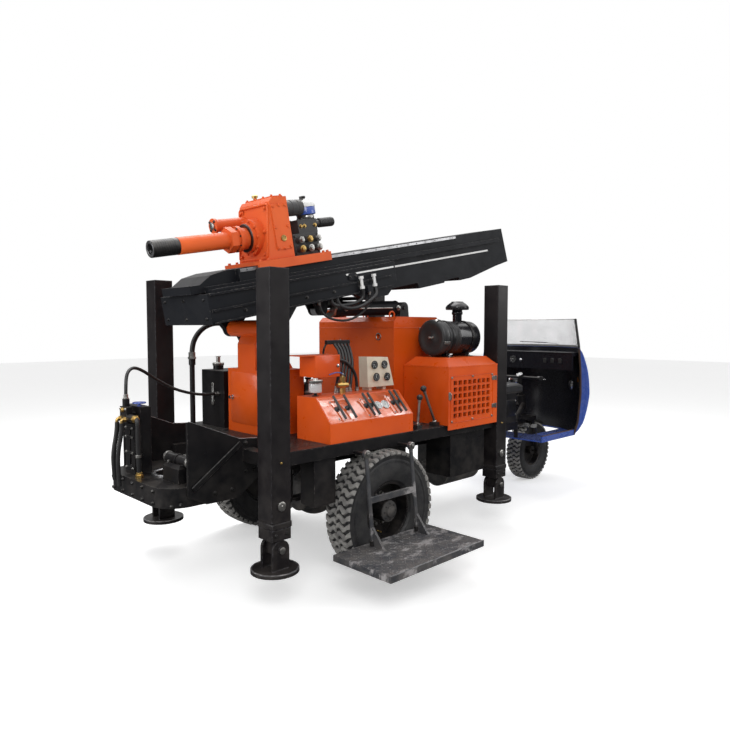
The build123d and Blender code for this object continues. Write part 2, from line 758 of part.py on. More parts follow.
def console_levers():
    """Row of long levers that lie along the panel, each on its own pivot post."""
    levers = []
    for x in LEVER_X:
        lever = bar((x, *over_panel(0.05, LEVER_RISE)), (x, *over_panel(0.9, LEVER_RISE)), LEVER_R)
        lever += bar((x, *over_panel(0.5, SEAT_GAP)), (x, *over_panel(0.5, LEVER_RISE)), LEVER_R)
        levers.append(lever)
    return group(*levers)


# Gauges in the cream box: x, and height over the console's ledge
GAUGES = ((1066.0, 190.0), (1170.0, 188.0), (1086.0, 98.0), (1200.0, 96.0))
GAUGE_R = 31.0


def gauge_box():
    """Cream box with four round gauges, on two feet on the console's ledge."""
    front_y = -500.0
    back_y = -410.0
    floor_z = PANEL_HIGH[1]
    box = side_profile([(1013, floor_z + 25), (1003, floor_z + 250), (1222, floor_z + 242),
                        (1290, floor_z + 25)], front_y, back_y)
    for x in (1040, 1190):
        box += block(x, x + 30, front_y + 20, back_y - 2, floor_z, floor_z + 25)
    for x, z in GAUGES:
        box += bar((x, front_y, floor_z + z), (x, front_y - 12, floor_z + z), GAUGE_R)
    return box


CONTROL_BOX_Z0 = 1366.0
CONTROL_BOX_Z1 = 1518.0


def control_box():
    """Small orange box over the console's rear end, with a cover sheet and a post."""
    ledge = PANEL_HIGH[1]
    box = block(510, 735, -500, -330, CONTROL_BOX_Z0, CONTROL_BOX_Z1)
    box += block(390, 511, -500, -330, CONTROL_BOX_Z1 - 6, CONTROL_BOX_Z1)
    return box + block(560, 600, -460, -415, ledge, CONTROL_BOX_Z0)


def fuel_filter():
    """Clear filter cup under its head, on a stalk on the console's ledge."""
    ledge = PANEL_HIGH[1]
    x, y = 498.0, -515.0
    cup = bar((x, y, ledge), (x, y, ledge + 20), 14)
    cup += bar((x, y, ledge + 18), (x, y, ledge + 92), 44)
    cup += bar((x, y, ledge + 92), (x, y, ledge + 114), 50)
    return cup


OIL_TANK = (300.0, 620.0, 320.0, 640.0)
OIL_TANK_TOP_Z = 1380.0

# Big hose from the oil tank over to the stand pipe
LOOP_HOSE_R = 19.0
LOOP_HOSE = [
    (560, 450, 1474),
    (560, 450, 1561.8),
    (526.3, 451, 1643.1),
    (464.1, 453, 1705.3),
    (382.8, 455, 1739),
    (295.2, 457, 1739),
    (213.9, 459, 1705.3),
    (151.7, 460, 1643.1),
    (118, 460, 1561.8),
    (118, 460, 1474),
]

# Thin hose from the column's air valve to the oil tank's rear wall
AIR_HOSE_R = 11.0
AIR_HOSE = [
    (-520, 160, 1250),
    (-520, 160, 1340),
    (-490, 205, 1415),
    (-425, 265, 1445),
    (-335, 325, 1420),
    (-215, 385, 1350),
    (-60, 425, 1265),
    (100, 405, 1215),
    (220, 400, 1205),
    (300, 400, 1205),
]

# Hose that hangs down outside the left web
DROP_HOSE_R = 12.0
DROP_HOSE = [
    (-360, 478, 1040),
    (-360, 478, 985),
    (-366, 484, 900),
    (-370, 490, 800),
    (-364, 486, 695),
    (-358, 480, 610),
    (-356, 478, 560),
]

# Hose from the control box down to the console's ledge
CONSOLE_HOSE_R = 11.0
CONSOLE_HOSE = [
    (735, -440, 1480),
    (795, -440, 1480),
    (869, -440, 1449),
    (926, -440, 1392),
    (957, -440, 1318),
    (957, -440, PANEL_HIGH[1]),
]


def oil_tank():
    """Black square tank beside the tower, with a filler cap and the big hose's neck."""
    x0, x1, y0, y1 = OIL_TANK
    tank = block(x0, x1, y0, y1, DECK_Z, OIL_TANK_TOP_Z)
    tank += bar((400, 560, OIL_TANK_TOP_Z), (400, 560, OIL_TANK_TOP_Z + 30), 40)
    tank += bar((400, 560, OIL_TANK_TOP_Z + 30), (400, 560, OIL_TANK_TOP_Z + 60), 15)
    x, y, z = LOOP_HOSE[0]
    tank += bar((x, y, OIL_TANK_TOP_Z), (x, y, z), LOOP_HOSE_R + 6)
    return tank


def stand_pipe():
    """Upright pipe from the deck that takes the big hose's other end."""
    x, y, z = LOOP_HOSE[-1]
    pipe = bar((x, y, DECK_Z), (x, y, z - 40), LOOP_HOSE_R)
    pipe += bar((x, y, DECK_Z), (x, y, DECK_Z + 14), LOOP_HOSE_R + 26)
    pipe += bar((x, y, z - 45), (x, y, z), LOOP_HOSE_R + 6)
    return pipe


COVER_X0 = 1585.0
COVER_X1 = LEG_FRONT_X - leg_half - 5
COVER_FRONT_Y = -797.0
COVER_BACK_Y = -335.0
COVER_TOP_Z = 1470.0
COVER_HIP = 68.0
COVER_SKIRT = 35.0
COVER_SKIRT_T = 5.0

# Grille: square holes in rows, first centre measured from the cover's rear lower corner
GRILLE_COLUMNS = 8
GRILLE_ROWS = 6
GRILLE_PITCH_X = 62.0
GRILLE_PITCH_Z = 51.0
GRILLE_HOLE_W = 40.0
GRILLE_HOLE_H = 34.0
GRILLE_X = 85.0
GRILLE_Z = 72.0
GRILLE_DEPTH = 25.0


def engine_cover():
    """Engine cover with a hipped roof, a skirt over the side rail and a square-holed grille."""
    cover = block(COVER_X0, COVER_X1, COVER_FRONT_Y, COVER_BACK_Y, DECK_Z, COVER_TOP_Z)
    cover = chamfer(cover.edges().group_by(Axis.Z)[-1], COVER_HIP)
    cover += block(COVER_X0, COVER_X1, COVER_FRONT_Y, COVER_FRONT_Y + COVER_SKIRT_T,
                   DECK_Z - COVER_SKIRT, DECK_Z + 1)
    holes = []
    for i in range(GRILLE_COLUMNS):
        for j in range(GRILLE_ROWS):
            x = COVER_X0 + GRILLE_X + i * GRILLE_PITCH_X
            z = DECK_Z + GRILLE_Z + j * GRILLE_PITCH_Z
            holes.append(block(x - GRILLE_HOLE_W / 2, x + GRILLE_HOLE_W / 2, COVER_FRONT_Y - 1,
                               COVER_FRONT_Y + GRILLE_DEPTH, z - GRILLE_HOLE_H / 2,
                               z + GRILLE_HOLE_H / 2))
    return cover - holes


ENGINE_TOP_Z = 1500.0
CLEANER_YZ = (-550.0, 1624.0)
CLEANER_X0 = 1683.0
CLEANER_X1 = 2150.0
CLEANER_R = 134.0
CLEANER_CAP_R = 146.0
CLEANER_STRAPS_X = (1800.0, 2060.0)
HOOD_X = 2005.0
HOOD_Z = 1858.0
HOOD_R = 92.0
OUTLET_PIPE = [
    (CLEANER_X1 - 1, -540, 1650),
    (CLEANER_X1 + 70, -528, 1646),
    (CLEANER_X1 + 105, -450, 1625),
    (CLEANER_X1 + 80, -330, 1605),
    (CLEANER_X1 + 30, -225, 1585),
    (CLEANER_X1 + 30, -225, ENGINE_TOP_Z),
]


def air_cleaner():
    """Black drum filter on the cover, with its end cap, straps, intake hood and bent outlet pipe."""
    y, z = CLEANER_YZ
    drum = bar((CLEANER_X0, y, z), (CLEANER_X0 + 45, y, z), CLEANER_CAP_R)
    drum += bar((CLEANER_X0 + 45, y, z), (CLEANER_X1, y, z), CLEANER_R)
    for x in CLEANER_STRAPS_X:
        band = bar((x - 15, y, z), (x + 15, y, z), CLEANER_R + 5)
        drum += band + block(x - 20, x + 20, y - 70, y + 70, COVER_TOP_Z, z - CLEANER_R + 20)
    drum += bar((HOOD_X, y, z + CLEANER_R - 20), (HOOD_X, y, HOOD_Z + 5), 38)
    drum += bar((HOOD_X, y, HOOD_Z), (HOOD_X, y, HOOD_Z + 22), HOOD_R)
    hood = Cone(HOOD_R, HOOD_R / 2, 42, align=(Align.CENTER, Align.CENTER, Align.MIN))
    drum += Pos(HOOD_X, y, HOOD_Z + 22) * hood
    return drum + hose(OUTLET_PIPE, 34)


def engine_block():
    """Deck engine under the mast, one plain block."""
    return block(ENGINE_X0, ENGINE_X1, -290, 300, DECK_Z, ENGINE_TOP_Z)


# Hand levers: x and z of the foot, x and z of the knob
HAND_LEVERS = ((1555.0, 975.0, 1416.0, 1245.0), (1350.0, 975.0, 1374.0, 1181.0))
HAND_LEVER_Y = -690.0


def hand_levers():
    """Two upright levers with black knobs between console and cover."""
    levers = []
    for foot_x, foot_z, top_x, top_z in HAND_LEVERS:
        y = HAND_LEVER_Y
        lever = block(foot_x - 35, foot_x + 20, y - 28, y + 28, DECK_Z, foot_z)
        lever += bar((foot_x, y, foot_z - 5), (top_x, y, top_z), LEVER_R)
        lever += Pos(top_x, y, top_z) * Sphere(22)
        levers.append(lever)
    return group(*levers)


# Under the deck
# Boxes under the right rail: from x to x, from y to y, and their depth
SIDE_BOXES = (
    (300.0, 480.0, -740.0, -600.0, 305.0),
    (LEG_FRONT_X - 610, LEG_FRONT_X - 160, -730.0, -480.0, 345.0),
)


def side_boxes():
    """Black boxes hung under the side rails."""
    boxes = []
    for x0, x1, y0, y1, depth in SIDE_BOXES:
        boxes.append(block(x0, x1, y0, y1, rail_bottom - depth, rail_bottom))
    return group(*boxes)


DRIVE_L = 600.0
DRIVE_W = 360.0
DRIVE_BOTTOM_Z = 330.0
SUMP_R = 150.0


def drive_unit():
    """Truck engine and gearbox hung between the main rails, plain outline."""
    x0 = MAIN_RAIL_FRONT_X - 250
    x1 = x0 + DRIVE_L
    half = DRIVE_W / 2
    unit = block(x0, x1, -half, half, DRIVE_BOTTOM_Z, main_bottom)
    unit += bar((x0 + 50, 0, DRIVE_BOTTOM_Z + 20), (x1 - 50, 0, DRIVE_BOTTOM_Z + 20), SUMP_R)
    lip = half + 40
    return unit + block(x0 + 50, x1 - 50, -lip, lip, main_bottom - 45, main_bottom)


def rear_axle():
    """Axle tubes with the round differential case."""
    axle = bar((REAR_AXLE_X, -560, TYRE_R), (REAR_AXLE_X, 560, TYRE_R), 55)
    reach = REAR_WHEEL_Y - RIM_W / 2 - SEAT_GAP
    axle += bar((REAR_AXLE_X, -reach, TYRE_R), (REAR_AXLE_X, reach, TYRE_R), 40)
    axle += Pos(REAR_AXLE_X, 0, TYRE_R) * Sphere(185)
    return axle


def leaf_springs():
    """Leaf packs under the main rails with their end brackets and U-bolts."""
    packs = []
    leaves = ((600, 0), (520, 1), (420, 2), (320, 3), (220, 4))
    top = TYRE_R + 120
    pack = None
    for half, i in leaves:
        leaf = block(REAR_AXLE_X - half, REAR_AXLE_X + half, MAIN_RAIL_Y - 35, MAIN_RAIL_Y + 35,
                     top - (i + 1) * 13, top - i * 13)
        pack = leaf if pack is None else pack + leaf
    for x in (REAR_AXLE_X - 570, REAR_AXLE_X + 570):
        pack += block(x - 30, x + 30, MAIN_RAIL_Y - 30, MAIN_RAIL_Y + 30, top, main_bottom)
    return both_sides(pack)


def tyre(radius, width, rim_r, lug_h, lugs):
    """Tyre with a rounded carcass and slanted lugs, spinning about the y axis."""
    half = width / 2
    body_r = radius - lug_h
    with BuildSketch(Plane.XY) as section:
        with BuildLine():
            Polyline((rim_r, -half * 0.72), (body_r - 70, -half), (body_r - 12, -half * 0.86),
                     (body_r, -half * 0.7), (body_r, half * 0.7), (body_r - 12, half * 0.86),
                     (body_r - 70, half), (rim_r, half * 0.72), close=True)
        make_face()
    ring = revolve(section.sketch, axis=Axis.Y)
    lug_pieces = []
    for i in range(lugs):
        for side in (-1, 1):
            angle = 360.0 * (i + (0.5 if side > 0 else 0)) / lugs
            lug = Pos(body_r + lug_h / 2 - 4, side * half * 0.42, 0) * Rot(side * 25, 0, 0) * Box(
                lug_h + 8, half * 0.72, radius * 0.095)
            lug_pieces.append(Rot(0, angle, 0) * lug)
    rolled = Rot(90, 0, 0) * Cylinder(radius, width)
    return (ring + lug_pieces) & rolled


def rim(rim_r, width, hub_r, seat):
    """Steel disc wheel with a dished centre."""
    half = width / 2
    wheel = Rot(90, 0, 0) * Cylinder(rim_r - seat, width)
    hollow = Rot(90, 0, 0) * Cylinder(rim_r - seat - 14, width)
    wheel -= Pos(0, -40, 0) * hollow
    wheel -= Pos(0, width - 20, 0) * hollow
    wheel += Rot(90, 0, 0) * Cylinder(hub_r, width)
    return wheel


GUARD_R = 350.0
GUARD_HALF_W = 84.0
GUARD_LOW_Z = 285.0


def fork():
    """Front fork: steering stem, crown and two legs that hold the wheel's axle."""
    z = FRONT_TYRE_R
    top = 2 * FRONT_TYRE_R + 60
    y0 = FRONT_TYRE_W / 2 + 15
    leg = bar((FRONT_WHEEL_X, y0 + 22, z), (FRONT_WHEEL_X - 120, y0 + 22, top), 22)
    leg += bar((FRONT_WHEEL_X, y0, z), (FRONT_WHEEL_X, y0 + 44, z), 36)
    shape = leg + mirrored(leg)
    shape += block(FRONT_WHEEL_X - 170, FRONT_WHEEL_X - 70, -(y0 + 44), y0 + 44, top - 20, top + 25)
    stem_end = (FRONT_WHEEL_X - 180, 0, top + 330)
    shape += bar((FRONT_WHEEL_X - 120, 0, top), stem_end, 24)
    shape += bar((FRONT_WHEEL_X, -y0 - 1, z), (FRONT_WHEEL_X, y0 + 1, z), 12)
    shape += block(FRONT_WHEEL_X - 130, FRONT_WHEEL_X - 110, -40, 40, z + GUARD_R - 24, top - 18)
    return shape + mudguard() + handlebar()


def mudguard():
    """Bent sheet over the upper part of the front tyre."""
    sheet = Rot(90, 0, 0) * Cylinder(GUARD_R, 2 * GUARD_HALF_W)
    sheet -= Rot(90, 0, 0) * Cylinder(GUARD_R - 5, 3 * GUARD_HALF_W)
    reach = GUARD_R + 10
    sheet &= block(-reach, reach, -GUARD_HALF_W, GUARD_HALF_W, GUARD_LOW_Z, reach)
    return Pos(FRONT_WHEEL_X, 0, FRONT_TYRE_R) * sheet


STEER_TOP = 2 * FRONT_TYRE_R + 60


def steering_head():
    """Head tube on the front frame that the fork's stem turns in."""
    low = (FRONT_WHEEL_X - 120 - 60 * 60 / 330, 0, STEER_TOP + 60)
    high = (FRONT_WHEEL_X - 120 - 60 * 250 / 330, 0, STEER_TOP + 250)
    return bar(low, high, 45)


def steering_bore(radius):
    """Round bar along the steering axis, used to bore the head tube."""
    start = (FRONT_WHEEL_X - 120, 0, STEER_TOP)
    return bar(start, (FRONT_WHEEL_X - 180, 0, STEER_TOP + 330), radius)


def front_frame():
    """Tricycle frame: two rails that run in under the main rails and up to the head tube."""
    rail = block(MAIN_RAIL_FRONT_X - 300, 3400, 220, 270, main_bottom - 80, main_bottom)
    frame = rail + mirrored(rail)
    frame += block(3330, 3400, -270, 270, main_bottom - 80, main_bottom)
    frame += steering_head()
    for side in (-1, 1):
        frame += block(MAIN_RAIL_FRONT_X - 180, MAIN_RAIL_FRONT_X - 80, side * 270,
                       side * (MAIN_RAIL_Y - MAIN_RAIL_W / 2),
                       main_bottom - 80, main_bottom + 55)
        frame += block(CAB_FLOOR_X + 5, 3400, side * 230, side * 270, CAB_FLOOR_Z + CAB_FLOOR_T,
                       main_bottom - 80)
        frame += bar((3370, side * 230, main_bottom - 40),
                     (FRONT_WHEEL_X - 165, side * 30, STEER_TOP + 150), 26)
    return frame - steering_bore(24.5)


HANDLEBAR_W = 520.0


def handlebar():
    """Bar with grips on top of the stem."""
    z = STEER_TOP + 330
    x = FRONT_WHEEL_X - 185
    bar_z = z + 120
    half = HANDLEBAR_W / 2
    shape = bar((x, -half, bar_z), (x, half, bar_z), 16)
    shape += bar((x, 0, z - 20), (x, 0, bar_z), 20)
    for side in (-1, 1):
        shape += bar((x, side * half, bar_z), (x - 120, side * (half + 70), bar_z + 10), 18)
    return shape


CAB_AXIS_X = 3706.0
CAB_SWEEP = 120.0
CAB_FLOOR_Z = 560.0
CAB_FLOOR_T = 12.0
CAB_FLOOR_X = 3380.0
CAB_FLOOR_HALF_W = 560.0
CAB_WALL = 14.0
COWL_TOP_Z = 1490.0
SCREEN_TOP_Z = 1800.0
SCREEN_T = 6.0
SILL_H = 60.0
WELL_X = 3690.0
WELL_HALF_W = 265.0

# Radius of the cowl's outer face about its upright axis, and the height where it holds
COWL_BOW = [
    (650.0, CAB_FLOOR_Z),
    (690.0, 700.0),
    (FRONT_END - CAB_AXIS_X, 1000.0),
    (708.0, 1250.0),
    (690.0, COWL_TOP_Z),
]
SCREEN_BOW = [(684.0, COWL_TOP_Z + SEAT_GAP), (640.0, SCREEN_TOP_Z)]


def bowed_wall(bow, wall):
    """Wall swept about the cab's upright axis, facing forward."""
    outline = [(r, 0, z) for r, z in bow] + [(r - wall, 0, z) for r, z in reversed(bow)]
    face = make_face(Polyline(*outline, close=True))
    sector = revolve(face, axis=Axis.Z, revolution_arc=CAB_SWEEP)
    return Pos(CAB_AXIS_X, 0, 0) * (Rot(0, 0, -CAB_SWEEP / 2) * sector)


def cab_shell():
    """Blue bowed cowl with the floor tray behind it, its sills and the front wheel's well."""
    z0 = CAB_FLOOR_Z
    z1 = z0 + CAB_FLOOR_T
    radius = COWL_BOW[0][0] - CAB_WALL / 2
    tray = bar((CAB_AXIS_X, 0, z0), (CAB_AXIS_X, 0, z1), radius)
    tray += block(CAB_FLOOR_X, CAB_AXIS_X, -CAB_FLOOR_HALF_W, CAB_FLOOR_HALF_W, z0, z1)
    tray &= block(CAB_FLOOR_X, FRONT_END, -CAB_FLOOR_HALF_W, CAB_FLOOR_HALF_W, z0, z1)
    tray -= block(WELL_X, FRONT_END, -WELL_HALF_W, WELL_HALF_W, z0 - 1, z1 + 1)
    sill_end = CAB_AXIS_X + radius * cos(radians(CAB_SWEEP / 2)) + CAB_WALL / 2
    sill = block(CAB_FLOOR_X, sill_end, CAB_FLOOR_HALF_W - 15, CAB_FLOOR_HALF_W, z0, z0 + SILL_H)
    return bowed_wall(COWL_BOW, CAB_WALL) + tray + sill + mirrored(sill)


def windscreen():
    """Curved clear screen that stands on the cowl."""
    return bowed_wall(SCREEN_BOW, SCREEN_T)


DASH_TOP_Z = 1440.0
DASH_T = 35.0
DASH_X = 3960.0
DASH_DROP = 150.0


def cowl_inner(z):
    """Radius of the cowl's inner face at a height in its upper stretch."""
    (low_r, low_z), (high_r, high_z) = COWL_BOW[-2:]
    return low_r + (high_r - low_r) * (z - low_z) / (high_z - low_z) - CAB_WALL


def dash():
    """Grey shelf behind the windscreen with its drop panel."""
    low = DASH_TOP_Z - DASH_T
    gap = SEAT_GAP / 2
    face = make_face(Polyline((0, 0, low), (cowl_inner(low) - gap, 0, low),
                              (cowl_inner(DASH_TOP_Z) - gap, 0, DASH_TOP_Z), (0, 0, DASH_TOP_Z),
                              close=True))
    shelf = Pos(CAB_AXIS_X, 0, 0) * revolve(face, axis=Axis.Z)
    shelf &= block(DASH_X, FRONT_END, -CAB_FLOOR_HALF_W, CAB_FLOOR_HALF_W, low, DASH_TOP_Z)
    return shelf + block(DASH_X, DASH_X + 22, -CAB_FLOOR_HALF_W, CAB_FLOOR_HALF_W,
                         low - DASH_DROP, low)


# Driver's seat, behind the floor tray
SEAT_L = 450.0
SEAT_W = 620.0
SEAT_CUSHION_T = 100.0
SEAT_TOP_Z = 1150.0
SEAT_X0 = CAB_FLOOR_X - 400


def seat():
    """Driver's seat on its box."""
    top = SEAT_TOP_Z - SEAT_CUSHION_T
    half = SEAT_W / 2
    base = block(SEAT_X0 + 10, SEAT_X0 + SEAT_L - 100, 10 - half, half - 10, main_bottom, top)
    return base + block(SEAT_X0, SEAT_X0 + SEAT_L, -half, half, top, SEAT_TOP_Z)


STEP_X0 = 345.0
STEP_X1 = 1255.0
STEP_PLATE_Z = 275.0
STEP_PLATE_T = 40.0
STEP_FOOT_Y = -940.0
STEP_BAR_R = 14.0
STEP_EYE_R = 28.0


def step_platform():
    """Hanging step: a plate under two round bars with a crossbar and eyes."""
    eye_z = STEP_EYE_Z
    top_y = STEP_EYE_Y
    foot_y = STEP_FOOT_Y
    plate_top = STEP_PLATE_Z
    plate = block(STEP_X0, STEP_X1, STEP_EDGE_Y, foot_y + 72, plate_top - STEP_PLATE_T, plate_top)
    for x in STEP_BAR_X:
        plate += bar((x, foot_y, plate_top - 5), (x, top_y, eye_z - 20), STEP_BAR_R)
        plate += bar((x, top_y - 10, eye_z), (x, top_y + 10, eye_z), STEP_EYE_R)
        plate += side_gusset(x, foot_y, plate_top)
    middle = (plate_top + eye_z) / 2
    middle_y = (foot_y + top_y) / 2
    first_x, last_x = STEP_BAR_X
    plate += block(first_x, last_x, middle_y - 10, middle_y + 10, middle - 20, middle + 20)
    for x in STEP_BAR_X:
        plate -= bar((x, top_y - 30, eye_z), (x, top_y + 30, eye_z), STEP_PIN_R + SEAT_GAP)
    return plate


def side_gusset(x, y, z):
    """Triangular stiffener at a bar's foot, standing out over the plate."""
    face = make_face(Polyline((x - 8, y, z - 1), (x - 8, y - 110, z - 1), (x - 8, y, z + 130), close=True))
    return extrude(face, amount=16, dir=(1, 0, 0))


node("side_rails", side_rails())
node("main_rails", main_rails())
node("cross_members", cross_members())
node("deck_plate", deck_plate())
node("leg_sleeves", leg_sleeves())
for name, x, side in (("leg_rear_right", LEG_REAR_X, -1), ("leg_rear_left", LEG_REAR_X, 1),
                      ("leg_front_right", LEG_FRONT_X, -1), ("leg_front_left", LEG_FRONT_X, 1)):
    node(name, leg_foot(x, side))
node("rear_table", rear_table())
node("rear_gussets", rear_gussets())
node("rear_column", rear_column())
node("break_out_clamp", break_out_clamp())
node("mast_tower", mast_tower())
node("tilt_frame", tilt_frame())
node("mast_beam", mast_beam())
node("carriage", carriage())
node("gearbox", gearbox())
node("spindle", spindle())
node("saver_collar", saver_collar())
node("head_motors", head_motors())
node("head_valve", head_valve())
node("lift_barrel", lift_barrel())
node("lift_rod", lift_rod())
node("lift_bracket", lift_bracket())
node("deck_tank", deck_tank())
node("console", console())
node("levers", group(console_levers(), hand_levers()))
node("gauge_box", gauge_box())
node("control_box", control_box())
node("oil_tank", oil_tank())
node("stand_pipe", stand_pipe())
node("fuel_filter", fuel_filter())
node("loop_hose", hose(LOOP_HOSE, LOOP_HOSE_R))
node("air_hose", hose(AIR_HOSE, AIR_HOSE_R))
node("drop_hose", hose(DROP_HOSE, DROP_HOSE_R))
node("console_hose", hose(CONSOLE_HOSE, CONSOLE_HOSE_R))
node("mast_hose", on_mast(hose(MAST_HOSE, MAST_HOSE_R)))
node("engine_cover", engine_cover())
node("air_cleaner", air_cleaner())
node("engine_block", engine_block())
node("side_boxes", side_boxes())
node("drive_unit", drive_unit())
node("rear_axle", rear_axle())
node("leaf_springs", leaf_springs())
rear_tyre = tyre(TYRE_R, TYRE_W, RIM_R, LUG_H, LUG_COUNT)
rear_rim = rim(RIM_R, RIM_W, HUB_R, SEAT_GAP)
for name, side in (("right", -1), ("left", 1)):
    place = Pos(REAR_AXLE_X, side * REAR_WHEEL_Y, TYRE_R)
    node("tyre_" + name, place * rear_tyre)
    node("rim_" + name, place * (rear_rim if side < 0 else Rot(0, 0, 180) * rear_rim))
front_place = Pos(FRONT_WHEEL_X, 0, FRONT_TYRE_R)
node("tyre_front", front_place * tyre(FRONT_TYRE_R, FRONT_TYRE_W, FRONT_RIM_R, FRONT_LUG_H, FRONT_LUG_COUNT))
front_rim = rim(FRONT_RIM_R, FRONT_RIM_W, FRONT_HUB_R, SEAT_GAP)
front_rim -= Rot(90, 0, 0) * Cylinder(12.1, 2 * FRONT_TYRE_W)
node("rim_front", front_place * front_rim)
node("fork", fork())
node("front_frame", front_frame())
node("cab_shell", cab_shell())
node("windscreen", windscreen())
node("seat", seat())
node("dash", dash())
node("step_platform", step_platform())

SHIFT = Pos(-(REAR_END + FRONT_END) / 2, -(STEP_EDGE_Y + LEG_Y + PAD_R) / 2, 0)
for name, shape in NODES.items():
    export_step(SHIFT * shape, "parts/" + name + ".step")
print("nodes", len(NODES))
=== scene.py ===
import math

import bmesh
import bpy
import numpy as np
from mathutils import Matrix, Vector


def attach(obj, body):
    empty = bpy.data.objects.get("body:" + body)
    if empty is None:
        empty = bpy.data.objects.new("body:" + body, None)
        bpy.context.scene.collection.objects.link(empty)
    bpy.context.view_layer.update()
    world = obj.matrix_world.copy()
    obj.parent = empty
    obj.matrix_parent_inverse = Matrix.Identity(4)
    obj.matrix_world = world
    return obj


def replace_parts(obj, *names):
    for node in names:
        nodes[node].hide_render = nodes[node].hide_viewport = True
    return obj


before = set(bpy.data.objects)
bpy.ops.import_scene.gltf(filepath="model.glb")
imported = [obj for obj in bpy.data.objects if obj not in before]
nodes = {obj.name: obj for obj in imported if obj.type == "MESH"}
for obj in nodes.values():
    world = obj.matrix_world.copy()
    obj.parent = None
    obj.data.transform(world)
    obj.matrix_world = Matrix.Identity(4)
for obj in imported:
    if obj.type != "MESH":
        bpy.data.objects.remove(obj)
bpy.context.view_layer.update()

# %% [markdown]
# A three-wheeled water well drilling rig stands in a pale studio with its mast laid down.
# Its solids come in as a fixed frame, every one at its true place in metres.

# %% [markdown]
# The solids were laid out from the rig's own centreline and its rear legs, which is also how
# a fitter would measure it. The frame's origin lies under the middle of the whole box instead,
# so one small function turns the rig's measures in millimetres into the frame's metres, and
# another does the same for the mast, which lies at an angle of about eleven degrees.

# %% From the rig's measures to the frame's metres
ORIGIN_X, ORIGIN_Y = 1.930, -0.248
MAST_ANGLE = math.radians(10.9)
MAST_FOOT = np.array([-160.0, 1722.0])


def at(x, y, z):
    """Point of the frame in metres: the rig's millimetres over 1000, less the origin's shift."""
    x, y, z = np.broadcast_arrays(*(np.asarray(v, float) for v in (x, y, z)))
    return np.stack([x / 1000 - ORIGIN_X, y / 1000 - ORIGIN_Y, z / 1000], axis=-1)


def on_mast(s, y, n):
    """Point at s along the mast, y across it and n square to it: foot + s along + n up."""
    s, n = np.asarray(s, float), np.asarray(n, float)
    x = MAST_FOOT[0] + s * math.cos(MAST_ANGLE) - n * math.sin(MAST_ANGLE)
    z = MAST_FOOT[1] + s * math.sin(MAST_ANGLE) + n * math.cos(MAST_ANGLE)
    return at(x, y, z)


ALONG = np.array([math.cos(MAST_ANGLE), 0.0, math.sin(MAST_ANGLE)])
UPWARD = np.array([-math.sin(MAST_ANGLE), 0.0, math.cos(MAST_ANGLE)])
BACK = -ALONG
ACROSS = np.array([0.0, 1.0, 0.0])
VERTICAL = np.array([0.0, 0.0, 1.0])
AHEAD = np.array([1.0, 0.0, 0.0])
ASTERN = np.array([-1.0, 0.0, 0.0])
SIDES = ((-1, "right"), (1, "left"))
print("mast foot at", np.round(on_mast(0, 0, 0), 3))

# %% [markdown]
# The photograph was taken from behind the rig's right rear corner, at a standing person's eye
# height and with a rather wide lens. The camera goes to that very spot, found from the known
# size of the tyres and the legs, so the picture's lines fall on each other.

# %% The camera
EYE = Vector((-4.1686, -3.5747, 1.7088))
LOOK = Vector((0.6948, 0.7168, -0.0594))
SENSOR_MM, LENS_MM, FAR_M = 36.0, 31.25, 100.0
camera_data = bpy.data.cameras.new("photo_camera")
camera_data.sensor_width = SENSOR_MM
camera_data.lens = LENS_MM
camera_data.clip_end = FAR_M
camera = bpy.data.objects.new("photo_camera", camera_data)
bpy.context.scene.collection.objects.link(camera)
camera.location = EYE
camera.rotation_euler = LOOK.to_track_quat("-Z", "Y").to_euler()
bpy.context.scene.camera = camera
print("camera height", round(EYE.z, 2), "m, lens", LENS_MM, "mm")

# %% [markdown]
# Most of what is added is small, round or bent: bolts, flanges, caps, pipes and rims. Each is
# either a profile turned about an axis or a section carried along a line, which is the same
# thing to a computer: a grid of points worked out at once. Three helpers do that, and one puts
# a grid into a mesh with its faces outwards.

# %% Grids of points and what becomes of them
PIECES = {}


def unit(v):
    """v over its own length."""
    v = np.asarray(v, float)
    return v / np.linalg.norm(v, axis=-1, keepdims=True)


def square_to(axis):
    """Two unit vectors at right angles to axis and to each other."""
    axis = unit(axis)
    helper = VERTICAL if abs(axis[2]) < 0.9 else AHEAD
    first = unit(np.cross(helper, axis))
    return first, np.cross(axis, first)


def grid_faces(rows, columns, wrap_rows=False, wrap_columns=True):
    """Corner numbers of the quads between neighbouring rows and columns of a grid."""
    i = np.arange(rows if wrap_rows else rows - 1)
    j = np.arange(columns if wrap_columns else columns - 1)
    i, j = np.meshgrid(i, j, indexing="ij")
    i2, j2 = (i + 1) % rows, (j + 1) % columns
    quads = np.stack([i * columns + j, i * columns + j2, i2 * columns + j2, i2 * columns + j], -1)
    return quads.reshape(-1, 4)


def copies(points, faces, places):
    """The same few points and faces at each of many places: points @ turn + origin, all at once."""
    turns = np.stack([np.asarray(p[0], float) for p in places])
    origins = np.stack([np.asarray(p[1], float) for p in places])
    moved = np.einsum("kj,nji->nki", points, turns) + origins[:, None, :]
    shifts = np.arange(len(places))[:, None, None] * len(points)
    return moved.reshape(-1, 3), (faces[None] + shifts).reshape(-1, faces.shape[1])


def piece(name, shape, finish, body="chassis", smooth=38.0):
    """A mesh object of shape's points and faces, closed up, faces outwards, riding on a body."""
    points, faces = shape
    mesh = bpy.data.meshes.new(name)
    faces = faces.tolist() if isinstance(faces, np.ndarray) else [[int(k) for k in face] for face in faces]
    mesh.from_pydata(np.asarray(points, float).reshape(-1, 3).tolist(), [], faces)
    obj = bpy.data.objects.new(name, mesh)
    bpy.context.scene.collection.objects.link(obj)
    tidy_mesh(mesh, smooth)
    mesh.materials.append(finish)
    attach(obj, body)
    PIECES[name] = obj
    return obj


